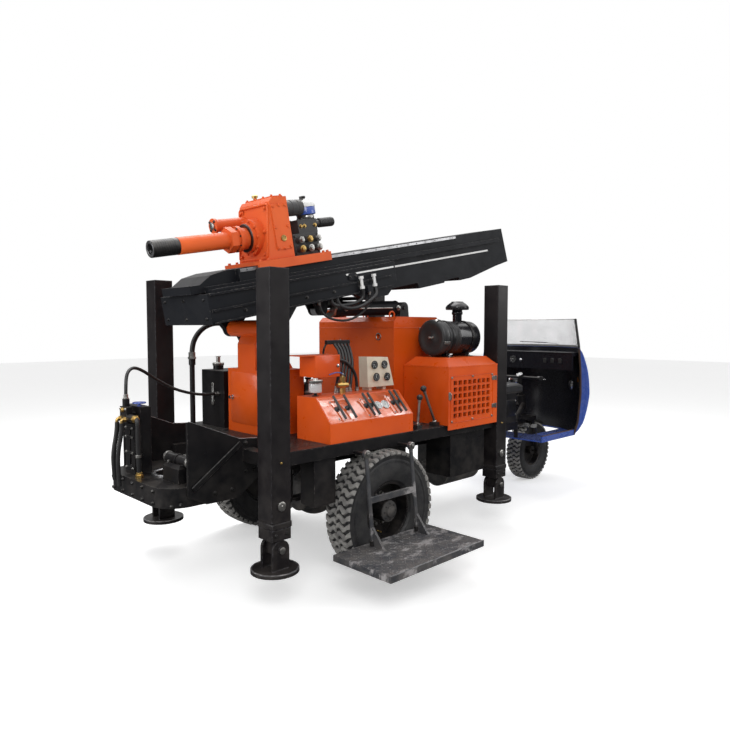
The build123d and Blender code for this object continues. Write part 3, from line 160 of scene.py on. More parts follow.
def tidy_mesh(mesh, smooth):
    """Merges doubles, drops flat faces, turns the faces outwards and smooths the gentle edges."""
    bm = bmesh.new()
    bm.from_mesh(mesh)
    bmesh.ops.remove_doubles(bm, verts=bm.verts, dist=2e-6)
    bmesh.ops.dissolve_degenerate(bm, edges=bm.edges, dist=1e-6)
    bmesh.ops.recalc_face_normals(bm, faces=bm.faces)
    bm.to_mesh(mesh)
    bm.free()
    mesh.shade_smooth()
    mesh.set_sharp_from_angle(angle=math.radians(smooth))


def turned(profile, origin, axis, sides=32, scale=0.001):
    """Points and quads of a turned shape: origin + axis * along + radius * (cos a, sin a).

    profile holds (along, radius) in millimetres; a radius of 0 at both ends closes it.
    """
    along, radius = (np.asarray(profile, float) * scale).T
    a = np.arange(sides) * 2 * math.pi / sides
    u, v = square_to(axis)
    ring = np.cos(a)[:, None] * u + np.sin(a)[:, None] * v
    points = np.asarray(origin) + along[:, None, None] * unit(axis) + radius[:, None, None] * ring
    return points.reshape(-1, 3), grid_faces(len(along), sides)


def carried(path, section, up=VERTICAL, closed=False, scale=0.001):
    """A flat section carried along a path: path point + x * side + y * up', ends filled flat.

    side is at right angles to the path and to up, and section holds (x, y) in millimetres.
    """
    path = np.asarray(path, float)
    step = np.roll(path, -1, 0) - np.roll(path, 1, 0) if closed else np.gradient(path, axis=0)
    step = unit(step)
    side = unit(np.cross(step, np.asarray(up, float)))
    top = np.cross(side, step)
    x, y = (np.asarray(section, float) * scale).T
    points = path[:, None] + x[:, None] * side[:, None] + y[:, None] * top[:, None]
    faces = [list(q) for q in grid_faces(len(path), len(x), wrap_rows=closed)]
    if not closed:
        last = (len(path) - 1) * len(x)
        faces += [list(range(len(x))), list(range(last, last + len(x)))]
    return points.reshape(-1, 3), faces


def ring_section(radius, sides=12):
    """Round section of that radius in millimetres."""
    a = np.arange(sides) * 2 * math.pi / sides
    return np.stack([radius * np.cos(a), radius * np.sin(a)], -1)


def band(half, inner, outer):
    """Profile of a flat ring to turn: half its width, its inner and its outer radius."""
    return [(-half, inner), (-half, outer), (half, outer), (half, inner), (-half, inner)]


def box_section(width, height, bevel=0.0):
    """Rectangle of width by height with its corners cut by bevel, in millimetres."""
    w, h, b = width / 2, height / 2, bevel
    if not b:
        return np.array([(-w, -h), (w, -h), (w, h), (-w, h)])
    return np.array([(-w + b, -h), (w - b, -h), (w, -h + b), (w, h - b),
                     (w - b, h), (-w + b, h), (-w, h - b), (-w, -h + b)])


def joined(*shapes):
    """Several (points, faces) shapes as one."""
    points, faces, count = [], [], 0
    for p, f in shapes:
        p = np.asarray(p, float).reshape(-1, 3)
        points.append(p)
        faces += [[int(k) + count for k in q] for q in f]
        count += len(p)
    return np.concatenate(points), faces


def smooth_path(points, count):
    """A curve through the points, in metres: the four nearest are blended (Catmull-Rom)."""
    p = np.asarray(points, float)
    p = np.concatenate([[2 * p[0] - p[1]], p, [2 * p[-1] - p[-2]]])
    t = np.linspace(0, len(p) - 3, count)
    k = np.minimum(t.astype(int), len(p) - 4)
    t = (t - k)[:, None]
    a, b, c, d = p[k], p[k + 1], p[k + 2], p[k + 3]
    return 0.5 * (2 * b + (c - a) * t + (2 * a - 5 * b + 4 * c - d) * t ** 2
                  + (3 * b - a - 3 * c + d) * t ** 3)


def curve(count, *places):
    """A smooth line of count points through those places of the rig, given in millimetres."""
    return smooth_path([at(*p) for p in places], count)


def round_corners(corners, shares):
    """Points of a closed loop at those shares of each side, so that it turns tightly at a corner."""
    return [a + (b - a) * t for a, b in zip(corners, corners[1:] + corners[:1]) for t in shares]


def turn_to(axis, spin=0.0):
    """Rows that carry x, y, z of a small part to two directions square to axis, and axis."""
    u, v = square_to(axis)
    c, s = math.cos(spin), math.sin(spin)
    return np.stack([c * u + s * v, c * v - s * u, unit(axis)])


def hexes(spots, axis, size, tall=0.62, washer=True):
    """Hexagon heads of that size in millimetres, each on its washer, at each spot along axis."""
    r = size / 2
    height, sunk = size * tall, 0.0004
    head = [(0, 0), (0, r), (height * 0.8, r), (height, r * 0.86), (height, 0)]
    ring = [(0, 0), (0, r * 1.35), (1.5, r * 1.35), (2.0, r * 1.2), (2.0, 0)]
    places = [(turn_to(axis, 0.7 * i), spot - sunk * unit(axis))
              for i, spot in enumerate(np.asarray(spots).reshape(-1, 3))]
    shapes = [turned(head, (0, 0, 0), VERTICAL, 6), turned(ring, (0, 0, 0), VERTICAL, 16)]
    return joined(*(copies(*shape, places) for shape in shapes[:2 if washer else 1]))


def ring_of(centre, axis, radius, count, start=0.0):
    """count spots on a circle of that radius in millimetres about centre."""
    a = start + np.arange(count) * 2 * math.pi / count
    u, v = square_to(axis)
    return np.asarray(centre) + radius / 1000 * (np.cos(a)[:, None] * u + np.sin(a)[:, None] * v)


def slab(outline, origin, side, up, thick, bevel=1.5):
    """Plate with that outline in side and up, thick along side x up, its rims cut by bevel."""
    shape = np.asarray(outline, float)
    middle = shape.mean(0)
    away = shape - middle
    near = middle + away * (1 - bevel / np.abs(away).max(0))
    side, up = unit(side), unit(up)
    out = np.cross(side, up)
    rim = min(bevel, thick / 3)
    rows = [(near, 0), (shape, rim), (shape, thick - rim), (near, thick)]
    points = [np.asarray(origin) + (q[:, :1] * side + q[:, 1:] * up + t * out) / 1000 for q, t in rows]
    n = len(shape)
    faces = [list(q) for q in grid_faces(4, n)] + [list(range(n)), list(range(3 * n, 4 * n))]
    return np.concatenate(points), faces


def box_outline(x0, x1, y0, y1, cut=0.0):
    """Rectangle with its corners cut."""
    if not cut:
        return [(x0, y0), (x1, y0), (x1, y1), (x0, y1)]
    return [(x0 + cut, y0), (x1 - cut, y0), (x1, y0 + cut), (x1, y1 - cut),
            (x1 - cut, y1), (x0 + cut, y1), (x0, y1 - cut), (x0, y0 + cut)]


def plate(wide, high, cut, centre, side, up, thick, bevel=1.5):
    """Plate of that width and height with its corners cut, its back centred on centre."""
    return slab(box_outline(-wide / 2, wide / 2, -high / 2, high / 2, cut), centre, side, up, thick, bevel)


def banded(points, radii, count=60, sides=16):
    """A round tube through the points whose radius runs through radii in millimetres."""
    path = smooth_path(points, count)
    tube, faces = carried(path, ring_section(1.0, sides))
    r = np.interp(np.linspace(0, 1, count), np.linspace(0, 1, len(radii)), radii)
    grid = path[:, None] + (tube.reshape(count, sides, 3) - path[:, None]) * r[:, None, None]
    return grid.reshape(-1, 3), faces


print("helpers ready")

# %% [markdown]
# Nearly everything on the rig is painted steel: black on the chassis and legs, orange on the
# head, tank, console and engine cover, blue on the cab. A flat colour would look like plastic.
# Real paint changes slightly over a large plate, collects dust on faces that look upwards and
# near the wheels, and rubs through along its edges. All of that comes from a few noises in
# the object's own coordinates, so it stays in place when a piece moves.

# %% A small wiring helper
def wiring(name):
    """A new material with its nodes, the shader, and a function that adds a node."""
    finish = bpy.data.materials.new(name)
    finish.use_nodes = True
    tree = finish.node_tree
    shader = tree.nodes["Principled BSDF"]

    def add(kind, inputs=None, **settings):
        n = tree.nodes.new(kind)
        for key, value in settings.items():
            setattr(n, key, value)
        for key, value in (inputs or {}).items():
            if isinstance(value, bpy.types.NodeSocket):
                tree.links.new(value, n.inputs[key])
            else:
                n.inputs[key].default_value = value
        return n

    def join(out, node_in):
        tree.links.new(out, node_in)

    return finish, shader, add, join


def rgb(colour):
    """A colour as Blender takes it, with full opacity."""
    return (*colour, 1.0)


def noise(add, where, scale, detail=4.0, rough=0.55, stretch=None):
    """Noise of so many lumps a metre, 0 to 1, stretched where a direction is given."""
    if stretch is not None:
        where = add("ShaderNodeMapping", {"Vector": where, "Scale": stretch}).outputs["Vector"]
    n = add("ShaderNodeTexNoise", {"Vector": where, "Scale": scale, "Detail": detail, "Roughness": rough})
    return n.outputs["Fac"]


def span(add, value, low, high, to_low=0.0, to_high=1.0):
    """value between low and high, carried over to to_low and to_high and held there."""
    n = add("ShaderNodeMapRange", {"Value": value, "From Min": low, "From Max": high,
                                   "To Min": to_low, "To Max": to_high}, clamp=True)
    return n.outputs["Result"]


def times(add, a, b, how="MULTIPLY"):
    """a times b, or another sum of the two, held between 0 and 1."""
    n = add("ShaderNodeMath", {0: a, 1: b}, operation=how, use_clamp=True)
    return n.outputs["Value"]


def blend_colour(add, share, a, b):
    """Colour a where share is 0 and colour b where it is 1."""
    n = add("ShaderNodeMix", {"Factor": share}, data_type="RGBA")
    for key, value in ((6, a), (7, b)):
        if isinstance(value, bpy.types.NodeSocket):
            n.id_data.links.new(value, n.inputs[key])
        else:
            n.inputs[key].default_value = rgb(value)
    return n.outputs[2]


# %% [markdown]
# One kind of paint serves every colour. Its wear needs the edges, and a bevel shader finds them
# by comparing a rounded surface with the sharp one; its dust lies on what faces the sky. Mixed
# in the shader, and not in images, this needs no unwrapping and holds at any distance.

# %% Paint on steel
DUST = (0.30, 0.26, 0.22)


def edges(add, radius):
    """Share of an edge: how far the rounded normal leans from the face's own."""
    bent = add("ShaderNodeBevel", {"Radius": radius}, samples=4).outputs["Normal"]
    own = add("ShaderNodeNewGeometry").outputs["Normal"]
    dot = add("ShaderNodeVectorMath", {0: bent, 1: own}, operation="DOT_PRODUCT").outputs["Value"]
    return span(add, dot, 0.985, 0.80)


def paint(name, colour, deep, rough, wear_and_highlight_colour=(0.30, 0.27, 0.25), wear_and_highlight_amount=0.5, dust=0.35, coat=0.0,
          patches=0.25, peel=0.12, edge=0.005, shine=0.5, scuffs=0.0, round_over=0.003):
    """Painted plate: two shades of its colour, dust that lies on top, and bare rubbed edges, whose grey on the legs
    is also a painted highlight.
    """
    finish, shader, add, join = wiring(name)
    where = add("ShaderNodeTexCoord").outputs["Object"]
    slow = noise(add, where, 1.7, 3.0)
    patch = noise(add, where, 9.0, 7.0, 0.68)
    fine = noise(add, where, 55.0, 5.0, 0.6)
    base = blend_colour(add, span(add, slow, 0.35, 0.65), colour, deep)
    height = add("ShaderNodeSeparateXYZ", {"Vector": where}).outputs["Z"]
    normal = add("ShaderNodeNewGeometry").outputs["Normal"]
    upward = add("ShaderNodeSeparateXYZ", {"Vector": normal}).outputs["Z"]
    lying = times(add, span(add, upward, 0.35, 1.0, 0.12, 1.0), span(add, patch, 0.36, 0.74))
    splash = times(add, span(add, height, 1.1, 0.15, 0.0, 0.75), span(add, patch, 0.40, 0.62))
    dirty = times(add, times(add, lying, splash, "MAXIMUM"), dust)
    base = blend_colour(add, dirty, base, DUST)
    # Edge mask: paint rubbed through at the edges; on the legs the same mask carries a painted highlight.
    rubbed_and_lit_edge = times(add, edges(add, edge), span(add, fine, 0.62 - 0.25 * wear_and_highlight_amount, 0.72 - 0.15 * wear_and_highlight_amount))
    chips = times(add, span(add, fine, 0.76 - 0.04 * wear_and_highlight_amount, 0.80 - 0.04 * wear_and_highlight_amount), span(add, patch, 0.5, 0.7))
    bare = times(add, times(add, rubbed_and_lit_edge, 0.85), times(add, chips, wear_and_highlight_amount), "MAXIMUM")
    base = blend_colour(add, bare, base, wear_and_highlight_colour)
    if scuffs:
        streak = noise(add, where, 5.0, 8.0, 0.72, stretch=(1.0, 1.8, 1.0))
        base = blend_colour(add, times(add, span(add, streak, 0.54, 0.60), scuffs), base, wear_and_highlight_colour)
    join(base, shader.inputs["Base Color"])
    sheen = span(add, patch, 0.3, 0.7, rough - 0.06, rough + patches * 0.5)
    join(times(add, sheen, times(add, dirty, 0.35), "ADD"), shader.inputs["Roughness"])
    shader.inputs["Specular IOR Level"].default_value = shine
    if coat:
        shader.inputs["Coat Weight"].default_value = coat
        shader.inputs["Coat Roughness"].default_value = 0.08
    rounded = add("ShaderNodeBevel", {"Radius": round_over}, samples=4).outputs["Normal"]
    skin = noise(add, where, 260.0, 2.0)
    bump = add("ShaderNodeBump", {"Height": skin, "Normal": rounded, "Strength": peel, "Distance": 0.0006})
    wavy = add("ShaderNodeBump", {"Height": slow, "Normal": bump.outputs["Normal"], "Strength": 0.35,
                                  "Distance": 0.01})
    join(wavy.outputs["Normal"], shader.inputs["Normal"])
    return finish


BLACK = paint("black_chassis_paint", (0.005, 0.005, 0.006), (0.009, 0.008, 0.009), 0.32, wear_and_highlight_amount=0.35, dust=0.14,
              shine=0.28)
# The legs' lighter grey edges are partly rubbed paint and partly a painted highlight along their corners.
LEG_BLACK = paint("leg_black_paint", (0.006, 0.005, 0.006), (0.011, 0.009, 0.010), 0.36, wear_and_highlight_colour=(0.16, 0.16, 0.18),
                  wear_and_highlight_amount=0.6, dust=0.12, edge=0.007, shine=0.35, round_over=0.012)
ORANGE = paint("orange_paint", (0.66, 0.088, 0.006), (0.56, 0.064, 0.005), 0.30, wear_and_highlight_colour=(0.10, 0.06, 0.05),
               wear_and_highlight_amount=0.25, dust=0.08, coat=0.15, shine=0.3)
HEAD_ORANGE = paint("head_orange_paint", (0.76, 0.125, 0.022), (0.64, 0.092, 0.018), 0.42,
                    wear_and_highlight_colour=(0.12, 0.07, 0.06), wear_and_highlight_amount=0.4, dust=0.12, peel=0.3, shine=0.3)
GLOSS = paint("gloss_black_paint", (0.006, 0.006, 0.008), (0.010, 0.010, 0.013), 0.20, wear_and_highlight_amount=0.2, dust=0.06, coat=0.3,
              shine=0.3)
BLUE = paint("cab_blue_paint", (0.045, 0.095, 0.40), (0.036, 0.078, 0.32), 0.24, wear_and_highlight_colour=(0.10, 0.10, 0.14),
             wear_and_highlight_amount=0.2, dust=0.14, coat=0.6)
MAST_GREY = paint("mast_matt_paint", (0.006, 0.007, 0.009), (0.011, 0.012, 0.015), 0.44, wear_and_highlight_amount=0.4, dust=0.09,
                  shine=0.14)
PLATE_GREY = paint("step_plate_paint", (0.026, 0.028, 0.034), (0.042, 0.044, 0.050), 0.52,
                   wear_and_highlight_colour=(0.42, 0.40, 0.40), wear_and_highlight_amount=0.7, dust=0.30, scuffs=0.55)
print("paints:", [material.name for material in bpy.data.materials if "paint" in material.name])

# %% [markdown]
# The console's sheet shines more than the paint around it. It is orange under a clear film that
# has gone dull in places, so a second, smooth layer lies over the colour in patches.

# %% Varnished panel
def varnish(name, colour):
    """Orange sheet under a clear film that mirrors the sky where it lies smooth, in patches."""
    finish, shader, add, join = wiring(name)
    where = add("ShaderNodeTexCoord").outputs["Object"]
    patch = noise(add, where, 7.0, 3.0, 0.55, stretch=(1.0, 1.0, 2.2))
    smear = noise(add, where, 30.0, 5.0, 0.6)
    join(blend_colour(add, span(add, smear, 0.35, 0.7), colour, tuple(0.85 * c for c in colour)),
         shader.inputs["Base Color"])
    shader.inputs["Roughness"].default_value = 0.35
    join(span(add, patch, 0.40, 0.56, 0.20, 1.0), shader.inputs["Coat Weight"])
    join(span(add, smear, 0.3, 0.7, 0.03, 0.14), shader.inputs["Coat Roughness"])
    shader.inputs["Coat IOR"].default_value = 2.9
    return finish


FILM = varnish("varnished_panel", (0.66, 0.10, 0.012))

# %% [markdown]
# The rest is metal that was never painted, rubber, glass and plastic. Castings are rough and
# oily, machined parts carry fine turning marks, and zinc plate on fittings is dull yellow or
# grey.

# %% Metals
def metal(name, colour, tint, rough, lines=None, oil=0.0, bumps=0.15):
    """Bare metal of two tints with a fine grain, stained dark in patches by oil."""
    finish, shader, add, join = wiring(name)
    where = add("ShaderNodeTexCoord").outputs["Object"]
    patch = noise(add, where, 14.0, 6.0, 0.65)
    grain = noise(add, where, 220.0, 3.0, 0.6, stretch=lines)
    base = blend_colour(add, span(add, patch, 0.35, 0.65), colour, tint)
    base = blend_colour(add, times(add, span(add, patch, 0.52, 0.66), oil), base, (0.02, 0.016, 0.012))
    join(base, shader.inputs["Base Color"])
    shader.inputs["Metallic"].default_value = 1.0
    join(span(add, grain, 0.3, 0.7, rough - 0.05, rough + 0.12), shader.inputs["Roughness"])
    rounded = add("ShaderNodeBevel", {"Radius": 0.0015}, samples=4).outputs["Normal"]
    bump = add("ShaderNodeBump", {"Height": grain, "Normal": rounded, "Strength": bumps, "Distance": 0.0005})
    join(bump.outputs["Normal"], shader.inputs["Normal"])
    return finish


CHROME = metal("chromed_rod", (0.72, 0.72, 0.74), (0.62, 0.62, 0.64), 0.10, bumps=0.04)
ZINC = metal("zinc_fitting", (0.50, 0.49, 0.47), (0.38, 0.37, 0.35), 0.32, oil=0.3)
BRASS = metal("brass_fitting", (0.62, 0.42, 0.14), (0.45, 0.30, 0.11), 0.34, oil=0.4)
BARE_STEEL = metal("machined_steel", (0.42, 0.42, 0.43), (0.30, 0.30, 0.31), 0.30, oil=0.4)
CAST = paint("cast_iron_grey", (0.045, 0.045, 0.047), (0.030, 0.029, 0.029), 0.50, wear_and_highlight_colour=(0.20, 0.17, 0.14),
             wear_and_highlight_amount=0.4, dust=0.35, peel=0.6)
DARK_BOLT = metal("blackened_bolt", (0.06, 0.06, 0.062), (0.10, 0.095, 0.09), 0.42, oil=0.3)
print("finishes so far:", len(bpy.data.materials))

# %% [markdown]
# Rubber and moulded plastic have no metal shine, only a matt grain with dust in it. Rubber is
# never black: fine dust greys it, and mud lightens the tread. Glass lets light through, and the
# cab's screen is milky from fine scratches, so a part of it stays an ordinary pale surface.

# %% Rubber, plastic and glass
def dull(name, colour, dusty, rough, dust=0.4, grain=90.0, bumps=0.3, low=False):
    """Rubber or moulded plastic: dusted in patches, with a fine matt grain."""
    finish, shader, add, join = wiring(name)
    where = add("ShaderNodeTexCoord").outputs["Object"]
    patch = noise(add, where, 11.0, 6.0, 0.65)
    fine = noise(add, where, grain, 4.0, 0.6)
    share = times(add, span(add, patch, 0.38, 0.68), dust)
    if low:
        height = add("ShaderNodeSeparateXYZ", {"Vector": where}).outputs["Z"]
        mud = times(add, span(add, height, 0.45, 0.0, 0.0, 0.6), span(add, fine, 0.42, 0.6))
        share = times(add, share, mud, "MAXIMUM")
    join(blend_colour(add, share, colour, dusty), shader.inputs["Base Color"])
    join(span(add, fine, 0.3, 0.7, rough - 0.06, rough + 0.1), shader.inputs["Roughness"])
    shader.inputs["Specular IOR Level"].default_value = 0.4
    bump = add("ShaderNodeBump", {"Height": fine, "Strength": bumps, "Distance": 0.0008})
    join(bump.outputs["Normal"], shader.inputs["Normal"])
    return finish


RUBBER = dull("tyre_rubber", (0.016, 0.016, 0.018), (0.060, 0.058, 0.055), 0.60, dust=0.5, low=True)
TREAD = dull("dusty_tread", (0.15, 0.145, 0.14), (0.33, 0.32, 0.30), 0.80, dust=0.8, grain=70.0)
HOSE = dull("hose_rubber", (0.012, 0.012, 0.013), (0.04, 0.038, 0.035), 0.42, dust=0.3, bumps=0.15)
PLASTIC = dull("black_plastic", (0.016, 0.016, 0.017), (0.05, 0.048, 0.045), 0.40, dust=0.3, bumps=0.15)
CREAM = dull("cream_box", (0.62, 0.55, 0.44), (0.42, 0.36, 0.28), 0.42, dust=0.35, bumps=0.12)
WHITE = dull("white_plastic", (0.75, 0.75, 0.74), (0.55, 0.53, 0.50), 0.40, dust=0.3, bumps=0.1)
TRIM = dull("brown_trim", (0.055, 0.030, 0.020), (0.10, 0.07, 0.05), 0.5, dust=0.3)
LINER = dull("black_liner", (0.006, 0.006, 0.009), (0.016, 0.016, 0.02), 0.24, dust=0.3, grain=240.0, bumps=0.08)
VINYL = dull("seat_vinyl", (0.018, 0.018, 0.020), (0.045, 0.043, 0.042), 0.38, dust=0.3, grain=300.0, bumps=0.5)


def clear(name, colour, rough, ior=1.45, milky=0.0):
    """Clear plastic or glass: lets light through, with a faint dusty haze of its own."""
    finish, shader, add, join = wiring(name)
    where = add("ShaderNodeTexCoord").outputs["Object"]
    patch = noise(add, where, 6.0, 5.0)
    shader.inputs["Transmission Weight"].default_value = 1.0 - milky
    shader.inputs["IOR"].default_value = ior
    join(blend_colour(add, span(add, patch, 0.35, 0.7), colour, tuple(0.9 * c for c in colour)),
         shader.inputs["Base Color"])
    join(span(add, patch, 0.3, 0.7, rough, rough + 0.12), shader.inputs["Roughness"])
    return finish


SCREEN = clear("milky_screen", (0.97, 0.97, 0.98), 0.10, milky=0.22)
GLASS = clear("gauge_glass", (0.95, 0.96, 0.96), 0.02)
print("finishes in all:", len(bpy.data.materials))

# %% [markdown]
# Each solid gets its finish by name. The table says which, and anything that it leaves out
# stops the script, so no part keeps the plain grey that it came with.

# %% Which solid has which finish
FINISHES = (
    (BLACK, "rim_right rim_left rim_front oil_tank stand_pipe side_rails main_rails cross_members deck_plate"),
    (BLACK, "rear_table rear_gussets rear_column break_out_clamp lift_bracket side_boxes leaf_springs"),
    (BLACK, "front_frame fork"),
    (LEG_BLACK, "leg_sleeves leg_rear_right leg_rear_left leg_front_right leg_front_left"),
    (ORANGE, "console engine_cover deck_tank mast_tower control_box"),
    (HEAD_ORANGE, "gearbox carriage spindle"),
    (MAST_GREY, "tilt_frame mast_beam lift_barrel"),
    (BLUE, "cab_shell"),
    (RUBBER, "tyre_right tyre_left tyre_front"),
    (PLASTIC, "saver_collar levers"),
    (GLOSS, "air_cleaner"),
    (CREAM, "gauge_box"),
    (CAST, "engine_block drive_unit rear_axle head_valve head_motors"),
    (CHROME, "lift_rod"),
    (SCREEN, "windscreen fuel_filter"),
    (VINYL, "seat"),
    (PLATE_GREY, "step_platform"),
    (LINER, "dash"),
    (HOSE, "loop_hose air_hose drop_hose console_hose mast_hose"),
)
bare = set(nodes)
for finish, names in FINISHES:
    for name in names.split():
        nodes[name].data.materials.clear()
        nodes[name].data.materials.append(finish)
        bare.remove(name)
assert not bare, bare
print("solids with a finish:", len(nodes))


def bolts(name, spots, axis, size, finish=DARK_BOLT, body="chassis", tall=0.62, washer=True):
    """A piece made of hexagon heads at those spots."""
    return piece(name, hexes(spots, axis, size, tall, washer), finish, body)


# %% [markdown]
# Free hoses show how a machine is plumbed. A rubber hose with steel wire in its wall resists
# bending, so it leaves its fitting straight and swings over in one wide arc. Each is drawn by a
# few points that the line is pulled towards, which gives a smooth bend everywhere. The tube's
# ends meet the faces of their fittings.

# %% Free hoses
HOSES = {
    "loop_hose": (38, 0.783, "chassis", [at(*p) for p in (
        (560, 450, 1474), (560, 450, 1561.8), (526.3, 451, 1643.1), (464.1, 453, 1705.3), (382.8, 455, 1739),
        (295.2, 457, 1739), (213.9, 459, 1705.3), (151.7, 460, 1643.1), (118, 460, 1561.8), (118, 460, 1474))]),
    "air_hose": (22, 1.077, "chassis", [at(*p) for p in (
        (-520, 160, 1250), (-520, 160, 1340), (-490, 205, 1415), (-425, 265, 1445), (-335, 325, 1420),
        (-215, 385, 1350), (-60, 425, 1265), (100, 405, 1215), (220, 400, 1205), (300, 400, 1205))]),
    "drop_hose": (24, 0.481, "chassis", [at(*p) for p in (
        (-360, 478, 1040), (-360, 478, 985), (-366, 484, 900), (-370, 490, 800), (-364, 486, 695),
        (-358, 480, 610), (-356, 478, 560))]),
    "console_hose": (22, 0.374, "chassis", [at(*p) for p in (
        (735, -440, 1480), (795, -440, 1480), (869, -440, 1449), (926, -440, 1392), (957, -440, 1318),
        (957, -440, 1242))]),
    "mast_hose": (18, 0.666, "mast_tilt", [on_mast(*p) for p in (
        (1370, -336, 0), (1370, -336, -50), (1343.7, -335, -99.4), (1275, -329, -149.4), (1134.5, -315, -184.4),
        (994, -300, -149.4), (925, -292, -99.4), (899, -290, -50), (899, -290, 0))]),
}


def bent_hose(name, wide, body, route):
    """A round hose whose line is pulled towards the route's points, riding on body."""
    line = bpy.data.curves.new(name + "_rubber", "CURVE")
    line.dimensions = "3D"
    spline = line.splines.new("NURBS")
    spline.points.add(len(route) - 1)
    for point, place in zip(spline.points, route):
        point.co = (*place, 1.0)
    spline.order_u = 3
    spline.use_endpoint_u = True
    spline.resolution_u = 12
    line.bevel_depth = wide / 2000
    line.bevel_resolution = 5
    line.use_fill_caps = True
    line.materials.append(HOSE)
    obj = bpy.data.objects.new(name + "_rubber", line)
    bpy.context.scene.collection.objects.link(obj)
    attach(obj, body)
    return obj


def free_hose(name, wide, body, route):
    """The hose that stands for a solid of the frame, which it hides."""
    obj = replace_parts(bent_hose(name, wide, body, route), name)


def hanging_hose(name, wide, body, route):
    """A hose that only the scene has."""
    obj = bent_hose(name, wide, body, route)


for name, (wide, length, body, route) in HOSES.items():
    free_hose(name, wide, body, route)
    ends = [(route[0], route[1])] + ([] if name == "drop_hose" else [(route[-1], route[-2])])
    for k, (foot, ahead) in enumerate(ends):
        sleeve = [(0.2, wide * 0.5 + 0.4), (0.2, wide * 0.80), (wide * 0.35, wide * 0.80), (wide * 0.40, wide * 0.66),
                  (wide * 1.3, wide * 0.66), (wide * 1.34, wide * 0.5 + 0.4), (0.2, wide * 0.5 + 0.4)]
        piece(f"{name}_ferrule_{k + 1}", turned(sleeve, foot, ahead - foot, 6 if k else 24), ZINC, body)
print("hoses:", {name: h[1] for name, h in HOSES.items()})

# %% [markdown]
# The rotary head is a welded gear case: thick plate, with a separate rear wall that takes the
# bearing housing and can be unbolted to reach the gears. Its bolts are what the eye reads the
# scale from, so they sit where a fitter would put them: round the wall's rim, in a circle on
# the bearing cap, along the side covers and on the lid.

# %% Gear case: rim, covers, bolts
SPINDLE_N = 515
wall = unit(on_mast(675, 0, 740) - on_mast(601, 0, 344))
wall_out = unit(np.cross(ACROSS, wall))
if wall_out @ ALONG > 0:
    wall_out = -wall_out
low, high = on_mast(604, 0, 360), on_mast(672, 0, 724)
HALF_WALL = ACROSS * 0.172
corners = [low - HALF_WALL, high - HALF_WALL, high + HALF_WALL, low + HALF_WALL]
rim = carried(round_corners(corners, (0.04, 0.5, 0.96)), box_section(14, 20, 3), up=wall_out, closed=True)
piece("gear_case_rim", rim, HEAD_ORANGE, "head")
spots = [a + (b - a) * t + wall_out * 0.001 for a, b in ((corners[0], corners[1]), (corners[3], corners[2]))
         for t in (0.07, 0.5, 0.93)]
inward = [ACROSS * 0.03] * 3 + [ACROSS * -0.03] * 3
bolts("gear_case_wall_bolts", np.array(spots) + inward, wall_out, 24, HEAD_ORANGE, "head")
bolts("bearing_cap_bolts", ring_of(on_mast(588, 0, SPINDLE_N), BACK, 116, 10), BACK, 19, HEAD_ORANGE, "head")
seal = [(-3, 78), (0, 100), (7, 97), (9, 80), (-3, 78)]
piece("bearing_seal_ring", turned(seal, on_mast(561, 0, SPINDLE_N), BACK, 48), DARK_BOLT, "head")
cover_bolts = [on_mast(s, 193 * side, n) for side in (-1, 1) for s, n in
               ((694, 418), (747, 412), (800, 418), (694, 705), (747, 708), (800, 705), (694, 560), (800, 560))]
piece("side_cover_bolts", joined(hexes(cover_bolts[:8], -ACROSS, 18), hexes(cover_bolts[8:], ACROSS, 18)),
      HEAD_ORANGE, "head")
lid_bolts = [on_mast(s, y, 777) for s in (732, 808) for y in (-148, -50, 50, 148)]
bolts("lid_bolts", lid_bolts, UPWARD, 17, HEAD_ORANGE, "head")
breather = [(0, 0), (0, 14), (18, 14), (20, 22), (34, 22), (40, 14), (40, 0)]
piece("lid_breather", turned(breather, on_mast(770, 100, 777), UPWARD, 20), BRASS, "head")
sight = [(0, 0), (0, 22), (7, 22), (8, 18), (5, 15), (5, 0)]
piece("oil_sight_glass", turned(sight, on_mast(747, -193, 480), -ACROSS, 28), BRASS, "head")
STUB = on_mast(392, 120, 626)
bolts("stub_flange_bolts", ring_of(STUB, BACK, 40, 4, 0.78), BACK, 15, body="head")
piece("stub_plug", turned([(0, 0), (0, 26), (10, 26), (13, 20), (13, 0)], STUB, BACK, 24), ZINC, "head")
carriage_bolts = [on_mast(s, y, 344.5) for s in (520, 585, 1090, 1130) for y in (-196, 196)]
bolts("carriage_bolts", carriage_bolts, UPWARD, 22, HEAD_ORANGE, "head")
print("head pieces so far:", list(PIECES))

# %% [markdown]
# Below the case hangs the part that turns with the drill pipe. The collar at its tip wears out
# and is changed, so it has flats for a wrench, grooves turned round it and a bevelled mouth.
# The flange above is bolted because the hollow shaft is changed together with its thread.

# %% Spindle flange and collar
flange = ring_of(on_mast(474, 0, SPINDLE_N), BACK, 83, 8, 0.2)
bolts("spindle_flange_bolts", flange, BACK, 12, body="drill_spindle", washer=False)
grooves = [(0, 54.4), (3, 55.0)]
for k in range(9):
    a = 20 + 16 * k
    grooves += [(a, 55.0), (a + 1.5, 53.4), (a + 4, 53.4), (a + 5.5, 55.0)]
grooves += [(176, 55.0), (187, 54.6), (187, 50.0), (0, 50.0), (0, 54.4)]
piece("saver_collar_grooves", turned(grooves, on_mast(-158, 0, SPINDLE_N), ALONG, 56), DARK_BOLT, "drill_spindle")
mouth = [(0, 35.5), (0, 50), (-2.5, 48), (-2.5, 37), (0, 35.5)]
piece("collar_mouth_ring", turned(mouth, on_mast(-157.5, 0, SPINDLE_N), ALONG, 48), BARE_STEEL, "drill_spindle")
THREAD_R, THREAD_LONG, THREAD_RADIANS = 33.4, 78, 81.7
share = np.linspace(0, 1, 260)
